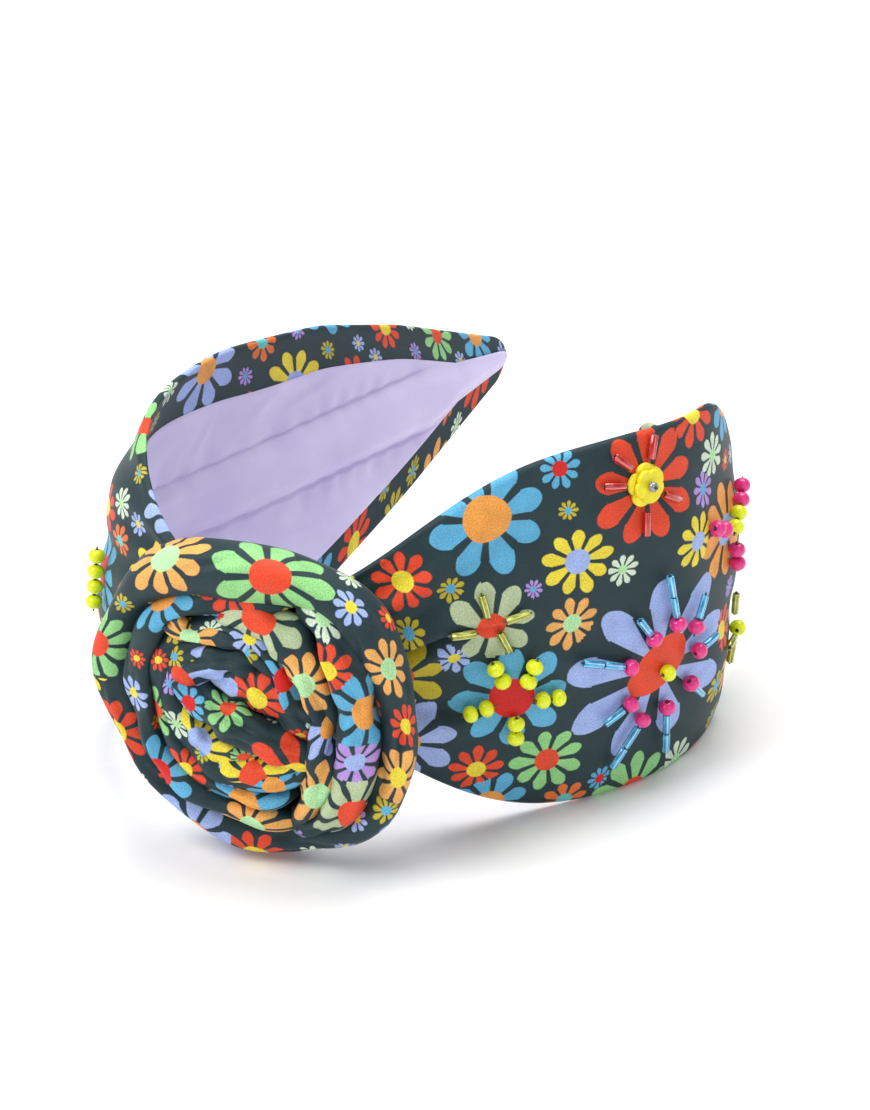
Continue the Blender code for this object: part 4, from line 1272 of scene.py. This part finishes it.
def make_button(finishes):
    where = surface_frame(*BUTTON_MIDDLE, math.radians(18))
    top = GAP + BUTTON_THICK
    upper_top = top + GAP + BUTTON_THICK
    turned_on = where @ Matrix.Rotation(0.5, 4, "Z")
    yellow = finishes["button"]
    lower = build_button_layer("button_lower_disc", where, BUTTON_REACH, GAP, top, yellow)
    upper = build_button_layer("button_upper_disc", turned_on, BUTTON_REACH * 0.78, top + 0.0001, upper_top,
                               yellow)
    upright = Matrix.Translation((0, 0, upper_top - 0.0001)) @ Matrix.Rotation(-math.pi / 2, 4, "Y")
    seed = build_seed("button_seed", where @ upright, finishes)
    finish_piece(lower, "near_arm", "button_lower")
    finish_piece(upper, "near_arm", "button_upper")
    finish_piece(seed, "near_arm", "button_seed_bead")


# A group's glass: the finishes of its round and tube beads, and its material slot.
GLASSES = {
    "red": ("neon", "red", "red_glass"), "olive": ("neon", "olive", "olive_glass"),
    "neon": ("neon", "blue", "neon_beads"), "blue": ("pink", "blue", "blue_glass"),
    "pink": ("pink", "blue", "pink_beads"),
}


def make_beadwork():
    finishes = bead_materials()
    make_button(finishes)
    for motif, middle, kind, strings in BEAD_MOTIFS:
        round_kind, tube_kind, slot = GLASSES[kind]
        materials = (finishes[round_kind], finishes[tube_kind], finishes["thread"])
        for number, ((begin, distance), run, beads) in enumerate(strings, start=1):
            node = f"{motif}_{number}" if len(strings) > 1 else motif
            half = string_length(beads) / 2
            begin, ahead = math.radians(begin), math.radians(run)
            along = middle[0] + distance * math.cos(begin) + half * math.cos(ahead)
            across = middle[1] + distance * math.sin(begin) + half * math.sin(ahead)
            piece = build_string(node + "_beads", surface_frame(along, across, ahead), beads, materials)
            finish_piece(piece, "near_arm" if middle[0] > 0 else "far_arm", node)


# ---- stage ----
CAMERA_AZIMUTH = math.radians(30.0)
CAMERA_ELEVATION = math.radians(28.0)
CAMERA_DISTANCE = 0.8106
CAMERA_ROLL = math.radians(0.63)
CAMERA_AIM = (0.0190, 0.0411, 0.0415)    # from the knot's point on the floor
CAMERA_SHIFT = (0.0092, 0.060)
LENS = 144.87


def make_camera():
    data = bpy.data.cameras.new("camera")
    data.lens = LENS
    data.sensor_width = 36.0
    data.sensor_fit = "HORIZONTAL"
    data.shift_x, data.shift_y = CAMERA_SHIFT
    camera = add_object("camera", data)
    level = math.cos(CAMERA_ELEVATION)
    back = Vector((math.sin(CAMERA_AZIMUTH) * level, -math.cos(CAMERA_AZIMUTH) * level,
                   math.sin(CAMERA_ELEVATION)))
    right = Vector((math.cos(CAMERA_AZIMUTH), math.sin(CAMERA_AZIMUTH), 0.0))
    up = back.cross(right)
    rolled_right = right * math.cos(CAMERA_ROLL) - up * math.sin(CAMERA_ROLL)
    rolled_up = right * math.sin(CAMERA_ROLL) + up * math.cos(CAMERA_ROLL)
    aim = Vector(CAMERA_AIM) + Vector(OFFSET)
    turn = Matrix((rolled_right, rolled_up, back)).transposed().to_4x4()
    camera.matrix_world = Matrix.Translation(aim + back * CAMERA_DISTANCE) @ turn
    bpy.context.scene.camera = camera


def area_light(name, location, target, size, power):
    data = bpy.data.lights.new(name, "AREA")
    data.shape = "DISK"
    data.size = size
    data.energy = power
    lamp = add_object(name, data)
    lamp.location = location
    lamp.rotation_euler = (Vector(target) - Vector(location)).to_track_quat("-Z", "Y").to_euler()


FLOOR_REACH = 9.0
PAPER = 0.93
SKY_TINT = (0.96, 0.98, 1.0, 1.0)
SKY_LEVELS = (0.04, 0.30, 0.9, 0.36)     # from and to height, strength at each


def make_floor():
    """A wide round sheet of white paper."""
    turns = np.linspace(0, 2 * math.pi, 96, endpoint=False)
    points = [(FLOOR_REACH * math.cos(turn), FLOOR_REACH * math.sin(turn), 0.0) for turn in turns]
    floor = mesh_object("studio_floor", points, [range(len(points))])
    floor.location.z = -0.0002
    paper = speckled_material("white_paper", (PAPER, PAPER, PAPER), 0.8, 300, 0.000002, 0.1, shade=0.985)
    floor.data.materials.append(paper)


def make_sky():
    """Even light that is brightest at the horizon."""
    world = bpy.data.worlds.new("soft_white")
    world.use_nodes = True
    tree = world.node_tree
    background = tree.nodes["Background"]
    background.inputs[0].default_value = SKY_TINT
    direction = tree.nodes.new("ShaderNodeTexCoord")
    height = tree.nodes.new("ShaderNodeSeparateXYZ")
    strength = tree.nodes.new("ShaderNodeMapRange")
    for index, value in enumerate(SKY_LEVELS, start=1):
        strength.inputs[index].default_value = value
    tree.links.new(direction.outputs["Generated"], height.inputs[0])
    tree.links.new(height.outputs[2], strength.inputs[0])
    tree.links.new(strength.outputs[0], background.inputs[1])
    bpy.context.scene.world = world


def make_stage():
    make_floor()
    make_sky()
    area_light("key_light", (-0.5, -0.75, 1.05), (0, 0, 0.04), 0.9, 13)
    area_light("fill_light", (0.95, -0.45, 0.60), (0, 0, 0.04), 0.9, 2)
    area_light("top_light", (0.0, 0.35, 1.25), (0, 0, 0.03), 1.1, 15)
    bpy.context.scene.view_settings.view_transform = "Standard"


make_camera()
make_band()
make_rosette()
make_beadwork()
make_stage()
